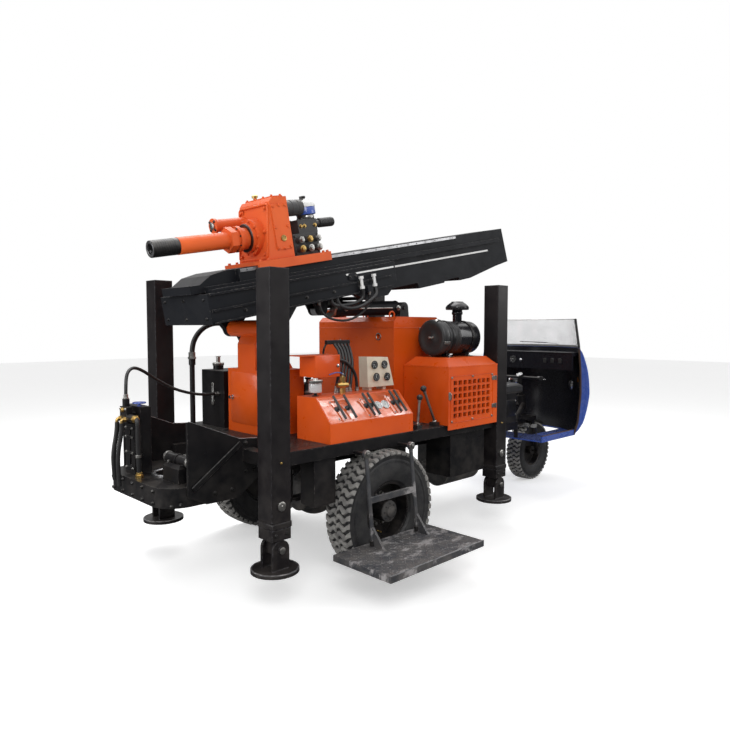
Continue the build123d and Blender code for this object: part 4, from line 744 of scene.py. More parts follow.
helix = on_mast(-150 + THREAD_LONG * share, THREAD_R * np.cos(share * THREAD_RADIANS),
                SPINDLE_N + THREAD_R * np.sin(share * THREAD_RADIANS))
thread = carried(helix, [(-1.6, -1.2), (1.6, -1.2), (0, 1.4)], up=ALONG)
piece("collar_inner_thread", thread, BARE_STEEL, "drill_spindle")
print("spindle pieces done")

# %% [markdown]
# On top of the case sit two oil motors, a cup with a black knob for line oil, and a stack of
# valves. Motors have a bolted flange and a thinner end cap; the valves are machined steel with
# brass plugs, which is why they catch the light in the photograph.

# %% Motors, oil cup, valves
end_cap = [(0, 55.5), (4, 59), (44, 59), (48, 55.8), (60, 55.8), (62, 58), (96, 58), (100, 56), (104, 51), (108, 47),
           (108, 0), (107, 0)]
for sign, side in SIDES:
    flange, cap, end = (on_mast(s, sign * 85, 690) for s in (870, 915, 1022))
    bolts(f"motor_flange_bolts_{side}", ring_of(flange, ALONG, 60, 6), ALONG, 12, body="head", washer=False)
    piece(f"motor_end_cap_{side}", turned(end_cap, cap, ALONG, 40), CAST, "head")
    bolts(f"motor_end_bolts_{side}", ring_of(end, ALONG, 36, 4, 0.5), ALONG, 11, ZINC, "head", washer=False)
OIL_CUP = (
    ("bowl", ZINC, 40, [(0, 0), (0, 58), (6, 62), (24, 62), (30, 58), (34, 58), (34, 0)]),
    ("band", BLUE, 40, [(34, 0), (34, 72), (38, 77), (84, 77), (90, 73), (90, 0)]),
    ("cone", WHITE, 40, [(90, 0), (90, 79), (100, 80), (112, 75), (126, 62), (140, 42), (148, 24), (152, 20),
                         (152, 0)]),
    ("knob", PLASTIC, 24, [(150, 0), (150, 12), (156, 13), (158, 17), (168, 18), (174, 14), (175, 0)]),
)
for name, finish, around, profile in OIL_CUP:
    piece(f"oil_cup_{name}", turned(profile, on_mast(1104, -40, 600), UPWARD, around), finish, "head")
rings = [(0, 0), (0, 33)]
for k in range(9):
    rings += [(4 + 15 * k, 33), (6 + 15 * k, 35.5), (13 + 15 * k, 35.5), (15 + 15 * k, 33)]
rings += [(142, 33), (146, 26), (146, 0)]
piece("swivel_rings", turned(rings, on_mast(1188, -70, 566), ALONG, 36), PLASTIC, "head")
nut = [(0, 0), (0, 20), (12, 20), (13, 26), (22, 26), (24, 18), (34, 16), (36, 0)]
for k, (s, n) in enumerate([(s, n) for s in (920, 1000, 1080) for n in (389, 454)]):
    plug = turned(nut, on_mast(s, -161, n), -ACROSS, 6 if k % 2 else 24)
    piece(f"valve_plug_{k + 1}", plug, BRASS if k % 3 == 0 else ZINC, "head")
top_bolts = [on_mast(s, y, 600) for s in (975, 1015, 1125) for y in (-96, 46)]
bolts("manifold_bolts", top_bolts, UPWARD, 15, body="head")
bolts("manifold_plugs", [on_mast(s, -110, 552) for s in (985, 1020, 1120)], -ACROSS, 22, BRASS, "head")
stack_bolts = [on_mast(s, -130, n) for s in (892, 1108) for n in (360, 485)]
bolts("valve_stack_bolts", stack_bolts, -ACROSS, 14, body="head")
print("pieces on the head:", len(PIECES))

# %% [markdown]
# The mast is a long welded box that slides in a shallow open frame, and the frame tips it up.
# A real one shows how it slides: a bright strip where the guide pads run, grease at its ends,
# and bolts that hold the pads. Its bright steel strips on the top edges also stand for the light
# caught along those edges, a painted highlight. The frame's rear plate is bolted on so the mast
# can be drawn out.

# %% Guide strips, end plate and pads
# Bright steel strips on the mast's top edges: guide strips, and also a painted highlight along those edges.
for sign, side in SIDES:
    path = [on_mast(s, sign * 191.5, 303) for s in np.linspace(330, 2700, 9)]
    piece(f"guide_highlight_strip_{side}", carried(path, box_section(4, 22, 1), up=UPWARD), BARE_STEEL, "mast_slide")
    screws = [on_mast(s, sign * 191.5 * 1.0105, 303) for s in np.arange(400, 2700, 250)]
    bolts(f"guide_screws_{side}", screws, ACROSS * sign, 9, body="mast_slide", tall=0.35, washer=False)
end_bolts = [on_mast(0, y, n) for y in (-255, 0, 255) for n in (38, 158)]
bolts("end_plate_bolts", end_bolts, BACK, 17, body="mast_tilt")
for sign, side in SIDES:
    side_bolts = [on_mast(s, sign * 310, 50) for s in np.arange(260, 1560, 260)]
    bolts(f"frame_bolts_{side}", side_bolts, ACROSS * sign, 20, body="mast_tilt")
for sign, side in SIDES:
    doubler = plate(90, 52, 12, on_mast(1240, sign * 310, 136), ALONG * -sign, UPWARD, 9, 2)
    piece(f"pad_holder_{side}", doubler, MAST_GREY, "mast_tilt")
    pad_bolts = [on_mast(s, sign * 310 * 1.029, 136) for s in (1212, 1268)]
    bolts(f"pad_holder_bolts_{side}", pad_bolts, ACROSS * sign, 15, body="mast_tilt")
print("guide strips and bolts:", len(PIECES))

# %% [markdown]
# The frame's joint is a thick pin in a tube, kept in by a round keeper plate with a grease
# nipple in its middle. The lift cylinder has a gland nut with flats where its chromed rod comes
# out, a welded end, and two ports with pipes, since it works both ways.

# %% Pivot pins, lift cylinder, welds
PIN_X, PIN_Z = 350, 1700
keeper = [(0, 0), (0, 44), (6, 44), (8, 41), (8, 17), (12, 13), (24, 11), (25, 0)]
for sign, side in SIDES:
    out = ACROSS * sign
    piece(f"pivot_keeper_{side}", turned(keeper, at(PIN_X, sign * 334, PIN_Z), out, 32), ZINC, "mast_tilt")
    spots = ring_of(at(PIN_X, sign * 342, PIN_Z), out, 31, 3, 0.5)
    bolts(f"pivot_keeper_bolts_{side}", spots, out, 12, body="mast_tilt", washer=False)
FOOT, EYE_PIN = at(1900, 0, 1880), at(950, 0, 1850)
lift = unit(EYE_PIN - FOOT)
reach = float(np.linalg.norm(EYE_PIN - FOOT)) * 1000
gland = reach - 150
nut = [(-2, 60), (-2, 66), (4, 69.5), (22, 69.5), (26, 64), (26, 34), (-2, 34), (-2, 60)]
piece("lift_gland_nut", turned(nut, FOOT + lift * gland / 1000, lift, 8), ZINC, "lift_barrel")
port = [(0, 0), (0, 22), (10, 22), (12, 15), (24, 15), (26, 12), (26, 0)]
for k, along in enumerate((95, gland - 95)):
    foot = FOOT + lift * along / 1000 + ACROSS * -0.058
    piece(f"lift_port_{k + 1}", turned(port, foot, -ACROSS, 20), ZINC, "lift_barrel")
pipe_points = [FOOT + lift * a / 1000 + ACROSS * y / 1000 for a, y in
               ((gland - 95, -80), (gland - 110, -88), (gland - 170, -82), (430, -74), (260, -74), (185, -77))]
piece("lift_side_pipe", carried(smooth_path(pipe_points, 40), ring_section(7, 10)), ZINC, "lift_barrel")
bead = [(-4, 61), (0, 65.5), (4, 61), (0, 60), (-4, 61)]
for k, along in enumerate((70, 700)):
    piece(f"lift_weld_{k + 1}", turned(bead, FOOT + lift * along / 1000, lift, 40), MAST_GREY, "lift_barrel")
print("mast and lift pieces:", len(PIECES))

# %% [markdown]
# The mast slides on strips of white nylon, and oil reaches its cylinder through two steel pipes
# that come down the frame's side. From each a thick hose bends away below the frame. The hoses
# ride on the frame, so they keep their bend when the mast stands up.

# %% Slide strips, side pipes and their hoses
for side, name in SIDES:
    strip = [on_mast(s, side * 192, n) for s, n in ((1800, 144), (2500, 139), (3180, 134))]
    piece(f"slide_strip_{name}", carried(strip, box_section(4, 15, 1), up=UPWARD), WHITE, "mast_slide")
    strip = [on_mast(s, side * 312, n) for s, n in ((1180, 156), (1450, 154), (1700, 152))]
    piece(f"frame_strip_{name}", carried(strip, box_section(4, 13, 1), up=UPWARD), WHITE, "mast_tilt")
SIDE_HOSES = {
    1304: [(1304, -338, 32), (1304, -338, -5), (1292, -336, -42), (1220, -330, -64), (1120, -322, -64),
           (1030, -312, -52), (1005, -305, -26), (1005, -304, 0)],
    1441: [(1441, -338, 32), (1441, -344, 2), (1412, -368, -28), (1350, -376, -56), (1250, -370, -92),
           (1160, -350, -98), (1080, -326, -72), (1060, -309, -30), (1060, -306, 0)],
}
pipe = [(0, 0), (0, 19), (20, 19), (21, 12), (74, 12), (75, 19), (95, 19), (96, 0)]
for k, (s, route) in enumerate(SIDE_HOSES.items()):
    piece(f"frame_side_pipe_{k + 1}", turned(pipe, on_mast(s, -338, 128), -UPWARD, 6), WHITE, "mast_tilt")
    hold = plate(48, 20, 3, on_mast(s, -324, 84), ALONG, UPWARD, 5, 1.2)
    piece(f"frame_side_pipe_clamp_{k + 1}", hold, DARK_BOLT, "mast_tilt")
    hanging_hose(f"frame_side_hose_{k + 1}", 28, "mast_tilt", [on_mast(*p) for p in route])

# %% [markdown]
# Truck tyres carry the rig. The casing is built from cord, with a bead that clamps on the rim,
# a flat side wall and a thick tread with square shoulders. Here the casing is turned from its half
# profile. The tread is two rows of moulded rubber blocks with a winding groove between them: the
# rows stand half a pitch apart, so that one always grips. Road dust lightens only the blocks.

# %% Tyres
def bar_lug(half, crown, shoulder, width, height, slant, side, steps=16):
    """One tread block: along t from the middle out to the shoulder, a trapezoid across.

    Its middle line bends over the shoulder in its last tenth and winds by slant * sin(2.6 pi t).
    """
    t = np.linspace(0, 1, steps)
    bend = np.clip((t - 0.90) / 0.10, 0, 1)
    y = side * (0.05 + 0.92 * np.minimum(t / 0.92, 1.0)) * half
    r = crown - 0.010 * crown * (y / half) ** 2 - bend * (crown - shoulder)
    out = np.stack([side * 0.75 * bend, np.sqrt(1 - (0.75 * bend) ** 2)], -1)
    w = width * (0.92 + 0.12 * np.cos(4 * math.pi * t))
    across = np.array([-0.62, -0.5, 0.5, 0.62])
    rise = np.array([-6.0, 1.0, 1.0, -6.0])
    tall = np.where(rise > 0, height, rise)
    yy = y[:, None] + out[:, :1] * tall
    rr = r[:, None] + out[:, 1:] * tall
    angle = slant * np.sin(2.6 * math.pi * t[:, None]) + w[:, None] * across / crown
    points = np.stack([rr * np.sin(angle), yy, rr * np.cos(angle)], -1).reshape(-1, 3)
    last = 4 * (steps - 1)
    return points / 1000, np.concatenate([grid_faces(steps, 4), [[0, 1, 2, 3], range(last, last + 4)]])


def tyre(name, body, centre, outer, half, bead, count, lug):
    """Casing turned from its profile, and a piece with the tread blocks, each a closed mesh."""
    crown = outer - lug - 1.0
    wall = crown - bead
    shares = ((-0.93, 0.30), (-0.97, 0.46), (-0.96, 0.60), (-0.93, 0.74), (-0.92, 0.76), (-0.90, 0.78))
    profile = [(-0.66 * half, bead), (-0.70 * half, bead + 8), (-0.80 * half, bead + 14)]
    profile += [(y * half, bead + share * wall) for y, share in shares]
    profile += [(-0.96 * half, crown - 0.09 * wall), (-0.92 * half, crown - 5), (-0.5 * half, crown - 1)]
    profile += [(0, crown)] + [(-y, r) for y, r in reversed(profile)]
    profile += [(0.5 * half, bead + 2), (-0.5 * half, bead + 2), profile[0]]
    casing = turned(profile, centre, ACROSS, 96)
    blocks, rings = [], []
    for side in (-1, 1):
        block = bar_lug(half, crown, crown - 0.07 * wall, 31 if outer > 400 else 27, lug, 0.030, side)
        places = []
        for k in range(count):
            a = (k + 0.5 * (side > 0)) * 2 * math.pi / count
            turn = np.array([[math.cos(a), 0, -math.sin(a)], [0, 1, 0], [math.sin(a), 0, math.cos(a)]])
            places.append((turn, centre))
        blocks.append(copies(*block, places))
        for share in (0.66, 0.70):
            y, r = side * 0.945 * half, bead + share * wall
            a = np.linspace(0, 2 * math.pi, 73)[:-1]
            circle = centre + np.stack([r * np.sin(a), y + 0 * a, r * np.cos(a)], -1) / 1000
            rings.append(carried(circle, box_section(4, 5, 1), up=ACROSS, closed=True))
    piece(name + "_tread", joined(*blocks), TREAD, body, smooth=30)
    obj = piece(name, joined(casing, *rings), RUBBER, body, smooth=30)
    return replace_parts(obj, body.replace("wheel", "tyre"))


WHEELS = {"wheel_right": at(907, -740, 430), "wheel_left": at(907, 740, 430), "wheel_front": at(4040, 0, 325)}
REAR_TYRE = dict(outer=429.5, half=109, bead=206, count=46, lug=13)
tyre("rear_right_tyre", "wheel_right", WHEELS["wheel_right"], **REAR_TYRE)
tyre("rear_left_tyre", "wheel_left", WHEELS["wheel_left"], **REAR_TYRE)
tyre("front_tyre", "wheel_front", WHEELS["wheel_front"], outer=324.5, half=79, bead=166, count=40, lug=9)
print("tyre faces:", [len(PIECES[n].data.polygons) for n in ("rear_right_tyre", "front_tyre")])

# %% [markdown]
# The wheels are pressed steel discs on cast hubs. Ten nuts hold a rear wheel, and a flange with
# its own smaller bolts closes the hub. A split ring keeps the tyre's bead on the rim, and the
# air valve pokes through a hand hole so that it can be reached.

# %% Nuts, hub flanges, lock rings, valves
def wheel_dress(body, centre, out, disc, hub, rim, nuts, face, proud):
    """Nuts on a circle, a stepped hub flange, a lock ring and a valve, on one wheel's outer side.

    disc, face and rim are where the steel disc, the hub's face and the bead seat lie, hub is the
    hub's radius and proud how far its flange stands out, all in millimetres.
    """
    axis = ACROSS * out
    side = {"wheel_right": "rear_right", "wheel_left": "rear_left"}.get(body, "front")
    on_disc = centre + axis * disc / 1000
    bolts(f"{side}_wheel_nuts", ring_of(on_disc, axis, hub * 1.42, nuts), axis, 0.36 * hub, ZINC, body, tall=0.9)
    on_hub = centre + axis * face / 1000
    flange = [(-3, 0), (-3, hub * 0.98), (proud * 0.2, hub * 0.98), (proud * 0.35, hub * 0.82),
              (proud * 0.5, hub * 0.55), (proud * 0.9, hub * 0.50), (proud, hub * 0.44), (proud, 0)]
    piece(f"{side}_hub_flange", turned(flange, on_hub, axis, 40), CAST, body)
    spots = ring_of(on_hub + axis * proud * 0.00025, axis, hub * 0.72, max(nuts - 2, 5))
    bolts(f"{side}_hub_bolts", spots, axis, hub * 0.17, body=body, washer=False)
    lock = [(0, rim - 11), (1, rim - 1), (5, rim - 1), (7, rim - 5), (6, rim - 15), (2, rim - 15), (0, rim - 11)]
    piece(f"{side}_lock_ring", turned(lock, centre + axis * (face - 8) / 1000, axis, 72), BLACK, body)
    stem = [(0, 5), (0, 6.5), (10, 6.5), (12, 4.5), (26, 4.2), (27, 5.6), (38, 5.6), (40, 4), (40, 0), (0, 0), (0, 5)]
    foot = centre + axis * (disc - 2) / 1000 + np.array([0.0, 0.0, -(rim - 40) / 1000])
    piece(f"{side}_air_valve", turned(stem, foot, axis, 14), BRASS, body)


REAR_WHEEL = dict(disc=-35, hub=75, rim=205, nuts=10, face=75, proud=30)
wheel_dress("wheel_right", WHEELS["wheel_right"], -1, **REAR_WHEEL)
wheel_dress("wheel_left", WHEELS["wheel_left"], 1, **REAR_WHEEL)
wheel_dress("wheel_front", WHEELS["wheel_front"], 1, disc=55, hub=45, rim=165, nuts=5, face=55, proud=14)
print("wheel pieces:", [n for n in PIECES if "wheel" in n or "hub" in n])

# %% [markdown]
# Each leg is a square tube that slides in another and carries a round pad on a pin, so the pad
# can lie flat on sloping ground. The pads are thick plate with ribs, worn bright at the rim. The
# sleeves have a bolted cap, a wear collar at the lower end and a lock pin with a ring.

# %% Legs: caps, collars, pads, pins
LEGS = {"leg_rear_right": (0, -725), "leg_rear_left": (0, 725), "leg_front_right": (2310, -725),
        "leg_front_left": (2310, 725)}
TUBE_HALF = 70
lock_pin = [(0, 0), (0, 27), (5, 29), (9, 29), (12, 25), (12, 8), (16, 6), (16, 0)]
pin_end = [(0, 0), (0, 19), (2, 21), (7, 21), (9, 18), (9, 0)]
pad_rim = [(0, 140), (0, 148.2), (3, 148.8), (21, 148.8), (24, 145), (24, 139), (22.3, 138), (2, 138), (0, 140)]
nipple = [(0, 0), (0, 7), (4, 7), (5, 4), (11, 4), (13, 2.5), (13, 0)]
for leg, (x, y) in LEGS.items():
    out = ACROSS * np.sign(y)
    face_y = y + np.sign(y) * TUBE_HALF
    collar = [at(x + i * 73, y + j * 73, 522) for i, j in ((-1, -1), (1, -1), (1, 1), (-1, 1))]
    loop = round_corners(collar, (0.02, 0.5, 0.98))
    piece(f"{leg}_wear_collar", carried(loop, box_section(8, 34, 2), closed=True), LEG_BLACK)
    piece(f"{leg}_lock_pin", turned(lock_pin, at(x, face_y, 640), out, 28), ZINC)
    ends = [turned(pin_end, at(x, y + way * 75, 370), ACROSS * way, 24) for way in (1, -1)]
    piece(f"{leg}_pad_pin", joined(*ends), ZINC, leg)
    piece(f"{leg}_pad_rim", turned(pad_rim, at(x, y, 228.3), VERTICAL, 64), PLATE_GREY, leg)
    bolts(f"{leg}_shoe_bolts", [at(x + i * 42, face_y, 466) for i in (-1, 1)], out, 19, body=leg)
    piece(f"{leg}_grease_nipple", turned(nipple, at(x, face_y, 900), out, 12), BRASS)
print("leg pieces:", len([n for n in PIECES if n.startswith("leg_")]))

# %% [markdown]
# The driller works at the sloping console. Its levers come through slots with rubber boots that
# keep grit out, and two gauges beside them show pump pressure. A gauge is a bezel, a printed
# dial, a pointer and a glass. Nothing is printed here but the scale's strokes, because the rig
# carries no text.

# %% Gauges
def gauge(name, centre, axis, radius, dark=False, lean=0.6, body="chassis"):
    """Round gauge of that radius: bezel, dial with strokes, pointer at the angle lean, and glass."""
    centre, axis, r = np.asarray(centre, float), unit(axis), radius
    bezel = [(0, r), (7, r), (9, r - 1.5), (9, r - 4), (6, r - 5.5), (3, r - 5.5), (3, 0), (0, 0)]
    piece(f"{name}_bezel", turned(bezel, centre, axis, 40), PLASTIC if dark else CHROME, body)
    dial = [(2.5, 0), (2.5, r - 5), (3.4, r - 5), (3.4, 0)]
    piece(f"{name}_dial", turned(dial, centre, axis, 40), PLASTIC if dark else WHITE, body)
    up = unit(VERTICAL - axis * axis[2])
    side = np.cross(up, axis)
    marks = []
    for k in range(11):
        a = math.radians(-135 + 27 * k)
        way = math.sin(a) * side + math.cos(a) * up
        ends = [centre + (axis * 3.9 + way * q) / 1000 for q in (r - 12 if k % 5 else r - 15, r - 7)]
        marks.append(carried(ends, box_section(1.6, 0.9), up=axis))
    way = math.sin(lean) * side + math.cos(lean) * up
    ends = [centre + (axis * 4.6 + way * q) / 1000 for q in (-6, r - 10)]
    marks.append(carried(ends, box_section(1.8, 1.0), up=axis))
    hub = turned([(3.5, 0), (3.5, 3.6), (6, 3.0), (6, 0)], centre, axis, 14)
    piece(f"{name}_pointer", joined(*marks, hub), WHITE if dark else DARK_BOLT, body)
    glass = [(6.6, 0), (6.6, r - 5.2), (7.6, r - 5.2), (7.9, r * 0.5), (8.0, 0)]
    piece(f"{name}_glass", turned(glass, centre, axis, 40), GLASS, body)


PANEL_UP = unit([0, 150, 162])
PANEL_OUT = unit([0, -162, 150])


def panel(x, t, out=0.0):
    """Point of the console's slope: x along it, t from its lower edge to its upper, out from it."""
    return at(x, -755 + 150 * t, 1080 + 162 * t) + PANEL_OUT * out / 1000


film = slab(box_outline(434, 1216, 3, 217, 4), panel(0, 0), AHEAD, PANEL_UP, 1.2, 0.4)
piece("console_panel_sheet", film, FILM)
gauge("pump_gauge_1", panel(932, 0.47), PANEL_OUT, 33, lean=-1.3)
gauge("pump_gauge_2", panel(1000, 0.47), PANEL_OUT, 36, lean=0.4)
for k, (x, z) in enumerate(((1066, 1432), (1170, 1430), (1086, 1340), (1200, 1338))):
    gauge(f"cream_box_gauge_{k + 1}", at(x, -511.5, z), -ACROSS, 31, dark=True, lean=-1.5 + 0.7 * k)
print("gauges:", len([n for n in PIECES if "gauge" in n]))

# %% [markdown]
# A lever's boot is a bellows: rings that shrink towards its top, turned in one go like a vase.
# Each slot plate is held by four small screws. Two long hand levers stand beside the console,
# each a turned shaft with a round knob.

# %% Lever boots, slot plates, knobs
boot = [(0, 0), (0, 21), (3, 21), (6, 15)]
for j in range(4):
    boot += [(8 + 5 * j, 17 - 2 * j), (11 + 5 * j, 12 - 1.6 * j)]
boot += [(30, 7), (30, 0)]
for k, x in enumerate((545, 640, 815, 865, 1085, 1135)):
    piece(f"lever_boot_{k + 1}", turned(boot, panel(x, 0.5), PANEL_OUT, 24), HOSE)
for k, (x0, x1) in enumerate(((505, 680), (785, 895), (1045, 1175))):
    slotted = slab(box_outline(x0, x1, 18, 182, 10), panel(0, 0), AHEAD, PANEL_UP, 3, 1)
    piece(f"lever_plate_{k + 1}", slotted, FILM)
    spots = [panel(x, t, 3) for x in (x0 + 13, x1 - 13) for t in (0.14, 0.77)]
    bolts(f"lever_plate_screws_{k + 1}", spots, PANEL_OUT, 11, ZINC, tall=0.4)
for k, (x0, z0, x1, z1) in enumerate(((1555, 975, 1416, 1245), (1350, 975, 1374, 1181))):
    foot, tip = at(x0, -690, z0), at(x1, -690, z1)
    way = unit(tip - foot)
    length = float(np.linalg.norm(tip - foot)) * 1000
    shaft = [(0, 0), (0, 17), (12, 17), (16, 10.5), (length - 40, 10.2), (length - 38, 13), (length - 22, 13),
             (length - 21, 0)]
    piece(f"hand_lever_shaft_{k + 1}", turned(shaft, foot, way, 20), ZINC)
    knob = [(length - 22, 0), (length - 22, 13), (length - 12, 21), (length, 24.5), (length + 12, 21),
            (length + 20, 11), (length + 22, 0)]
    piece(f"hand_lever_knob_{k + 1}", turned(knob, foot, way, 28), PLASTIC)
seam = [panel(x, 1.0, 0.2) + np.array([0, 0.004, 0.0004]) for x in np.linspace(430, 1220, 12)]
piece("console_edge_bead", carried(seam, box_section(5, 3, 1)), ORANGE)
print("console pieces:", len([n for n in PIECES if "lever" in n or "console" in n]))

# %% [markdown]
# Behind the console stand the line filter with its clear bowl, a stop valve with a blue handle
# and a row of black steel pipes that feeds the levers. Each is bent once on a former, screwed
# into the ledge and clamped in a rail at its top, so that the engine's shaking can't crack it.

# %% Filter bowl, stop valve, feed pipes
FILTER = at(498, -515, 1242)
bowl = [(20, 0), (22, 30), (28, 43), (34, 45.2), (90, 45.2), (92, 44), (92, 0)]
piece("filter_bowl", turned(bowl, FILTER, VERTICAL, 36), SCREEN)
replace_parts(PIECES["filter_bowl"], "fuel_filter")
paper = [(30, 0), (30, 30)]
for k in range(10):
    paper += [(33 + 5 * k, 32), (35.5 + 5 * k, 29)]
paper += [(86, 30), (86, 0)]
piece("filter_paper", turned(paper, FILTER, VERTICAL, 30), WHITE)
head = [(90, 0), (90, 49), (93, 51), (108, 51), (112, 47), (114, 20), (122, 18), (122, 0)]
piece("filter_head", turned(head, FILTER, VERTICAL, 36), ZINC)
stalk = [(0, 0), (0, 24), (4, 24), (6, 13), (22, 13), (22, 0)]
piece("filter_stalk", turned(stalk, FILTER, VERTICAL, 24), BLACK)
valve = at(760, -500, 1300)
body = turned([(-60, 0), (-60, 21), (60, 21), (60, 0)], valve, VERTICAL, 8)
bulge = turned([(-50, 0), (-50, 15), (0, 26), (50, 15), (50, 0)], valve, AHEAD, 24)
piece("stop_valve_body", joined(body, bulge), BRASS)
handle = [valve + np.array(step) for step in ((0, 0, 0.075), (-0.02, 0, 0.088), (-0.07, 0, 0.092), (-0.13, 0, 0.080))]
piece("stop_valve_handle", carried(smooth_path(handle, 18), box_section(20, 7, 2)), BLUE)
stem = [(18, 0), (18, 9), (66, 9), (72, 13), (80, 13), (84, 8), (84, 0)]
piece("stop_valve_stem", turned(stem, valve, VERTICAL, 16), ZINC)
end = [(0, 0), (0, 17), (8, 17), (9, 13), (24, 13), (26, 11.2), (48, 11.2), (50, 0)]
for k in range(5):
    x = 800 + 34 * k
    path = curve(40, (x - 40, -430, 1246), (x - 30, -432, 1320), (x + 5, -425 + 4 * k, 1440),
                 (x + 30, -385 + 6 * k, 1530), (x + 20, -340, 1590))
    piece(f"feed_pipe_{k + 1}", carried(path, ring_section(10.5, 14)), HOSE)
    piece(f"feed_pipe_end_{k + 1}", turned(end, at(x - 40, -430, 1242), VERTICAL, 12), ZINC)
rail = [at(x, -338, 1600) for x in np.linspace(745, 970, 5)]
piece("feed_pipe_clamp_rail", carried(rail, box_section(26, 30, 3)), BLACK)
brace = curve(12, (760, -338, 1600), (735, -332, 1560), (725, -330, 1505))
piece("feed_pipe_rail_brace", carried(brace, box_section(20, 8, 2)), BLACK)
door = slab(box_outline(-2, 223, -3, 149, 4), at(511, -500.4, 1367), AHEAD, VERTICAL, 3, 1)
piece("control_box_door", door, ORANGE)
lock = [(0, 0), (0, 12), (6, 12), (8, 9), (8, 0)]
piece("control_box_lock", turned(lock, at(712, -503, 1440), -ACROSS, 20), CHROME)
print("filter, valve and feed pipes done:", len(PIECES))

# %% [markdown]
# The engine sits under a sheet cover with a hipped roof, which sheds rain. Folded sheet shows a
# lap where the roof meets the walls, a row of rivets or bolts along it, hinges at the back and
# a catch at the front. The grille's holes are pressed, so each has a thin raised rim.

# %% Engine cover
lap = [at(x, y, 1401) for x, y in ((1584, -797.5), (1900, -797.6), (2236, -797.5))]
piece("cover_roof_lap", carried(lap, box_section(3, 13, 1)), ORANGE)
lap_rear = [at(1584.2, y, 1401) for y in (-797, -560, -336)]
piece("cover_roof_lap_rear", carried(lap_rear, box_section(3, 13, 1)), ORANGE)
rivets = [at(x, -799, 1401) for x in np.linspace(1610, 2210, 9)]
dome = turned([(0, 0), (0, 5.5), (1.2, 5.2), (2.6, 3.4), (3.2, 0)], (0, 0, 0), VERTICAL, 12)
piece("cover_rivets", copies(*dome, [(turn_to(-ACROSS), p) for p in rivets]), ORANGE)
rear_rivets = [at(1582.8, y, 1401) for y in np.linspace(-770, -360, 6)]
piece("cover_rivets_rear", copies(*dome, [(turn_to(ASTERN), p) for p in rear_rivets]), ORANGE)
# Behind each grille hole lies a dark plate: painted shade of the engine bay inside the cover.
rims, shade_plates = [], []
for x in 1670 + 62 * np.arange(8):
    for z in 1022 + 51 * np.arange(6):
        hole = [at(x + a * 21.5, -797.8, z + b * 18.5) for a, b in ((-1, -1), (1, -1), (1, 1), (-1, 1))]
        rims.append(carried(round_corners(hole, (0.06, 0.94)), box_section(3, 3, 0.8), up=ACROSS, closed=True))
        shade_plates.append(plate(39.2, 33.2, 1, at(x, -773, z), AHEAD, VERTICAL, 1, 0.3))
piece("grille_rims", joined(*rims), ORANGE)
piece("grille_dark_core", joined(*shade_plates), RUBBER)
wire = ring_section(1.6, 6)
wires = [carried([at(1632, -778, z), at(2142, -778, z)], wire) for z in np.arange(992, 1310, 12)]
wires += [carried([at(x, -776, 988), at(x, -776, 1305)], wire, up=AHEAD) for x in np.arange(1640, 2140, 12)]
piece("grille_wire_mesh", joined(*wires), DARK_BOLT)
edge = [at(1612, -798, 968), at(2170, -798, 968), at(2170, -798, 1330), at(1612, -798, 1330)]
fold = carried(round_corners(edge, (0.01, 0.99)), box_section(4, 7, 1), up=ACROSS, closed=True)
piece("grille_panel_edge", fold, ORANGE)
panel_bolts = [at(x, -799.5, z) for x in (1625, 1890, 2157) for z in (978, 1320)]
bolts("grille_panel_bolts", panel_bolts, -ACROSS, 14, ZINC)
for k, z in enumerate((1060, 1290)):
    strap = slab(box_outline(-34, 14, -17, 17, 5), at(2190, -797.5, z), AHEAD, VERTICAL, 4, 1)
    knuckle = turned([(-20, 0), (-20, 7), (20, 7), (20, 0)], at(2211, -802, z), VERTICAL, 16)
    piece(f"cover_hinge_{k + 1}", joined(strap, knuckle), ZINC)
lever = curve(14, (1597, -801, 1204), (1597, -815, 1195), (1597, -815, 1160), (1597, -803, 1150))
catch = joined(plate(24, 60, 4, at(1597, -797.6, 1180), AHEAD, VERTICAL, 4, 1),
               carried(lever, box_section(9, 3, 0.8), up=AHEAD))
piece("cover_catch", catch, ZINC)
print("cover pieces:", len([n for n in PIECES if "cover" in n or "grille" in n]))

# %% [markdown]
# The air cleaner is a drum on two straps. Its end cap is dished and held by a wing nut, so the
# filter inside can be changed by hand. The intake wears a rain hood, and a blue rubber elbow
# with hose clips leads the cleaned air down to the engine.

# %% Air cleaner
END = at(1683, -550, 1624)
dish = [(-16, 0), (-16, 18), (-10, 30), (-9, 86), (-15, 102), (-17, 122), (-10, 139), (0, 146.4), (40, 146.4),
        (46, 140), (47, 134), (0, 134), (0, 0)]
piece("cleaner_end_cap", turned(dish, END, AHEAD, 64), PLASTIC)
wing = [(-16, 0), (-16, 9), (-26, 9), (-27, 6), (-36, 5.5), (-38, 0)]
lobe = slab([(-24, -5), (-8, -7), (8, -7), (24, -5), (30, 6), (20, 12), (7, 4), (-7, 4), (-20, 12), (-30, 6)],
            END + np.array([-0.020, 0, 0]), ACROSS, VERTICAL, 4, 1)
piece("cleaner_wing_nut", joined(turned(wing, END, AHEAD, 18), lobe), ZINC)
drum = [(50, 134.3)]
for k in range(5):
    x = 66 + 22 * k
    drum += [(x, 134.4), (x + 4, 137.2), (x + 10, 137.2), (x + 14, 134.4)]
drum += [(212, 134.4), (214, 130), (50, 130), (50, 134.3)]
piece("cleaner_drum_ribs", turned(drum, END, AHEAD, 64), PLASTIC)
strap = [(-17, 138.8), (-17, 140.6), (-14, 141.4), (14, 141.4), (17, 140.6), (17, 138.8), (0, 138), (-17, 138.8)]
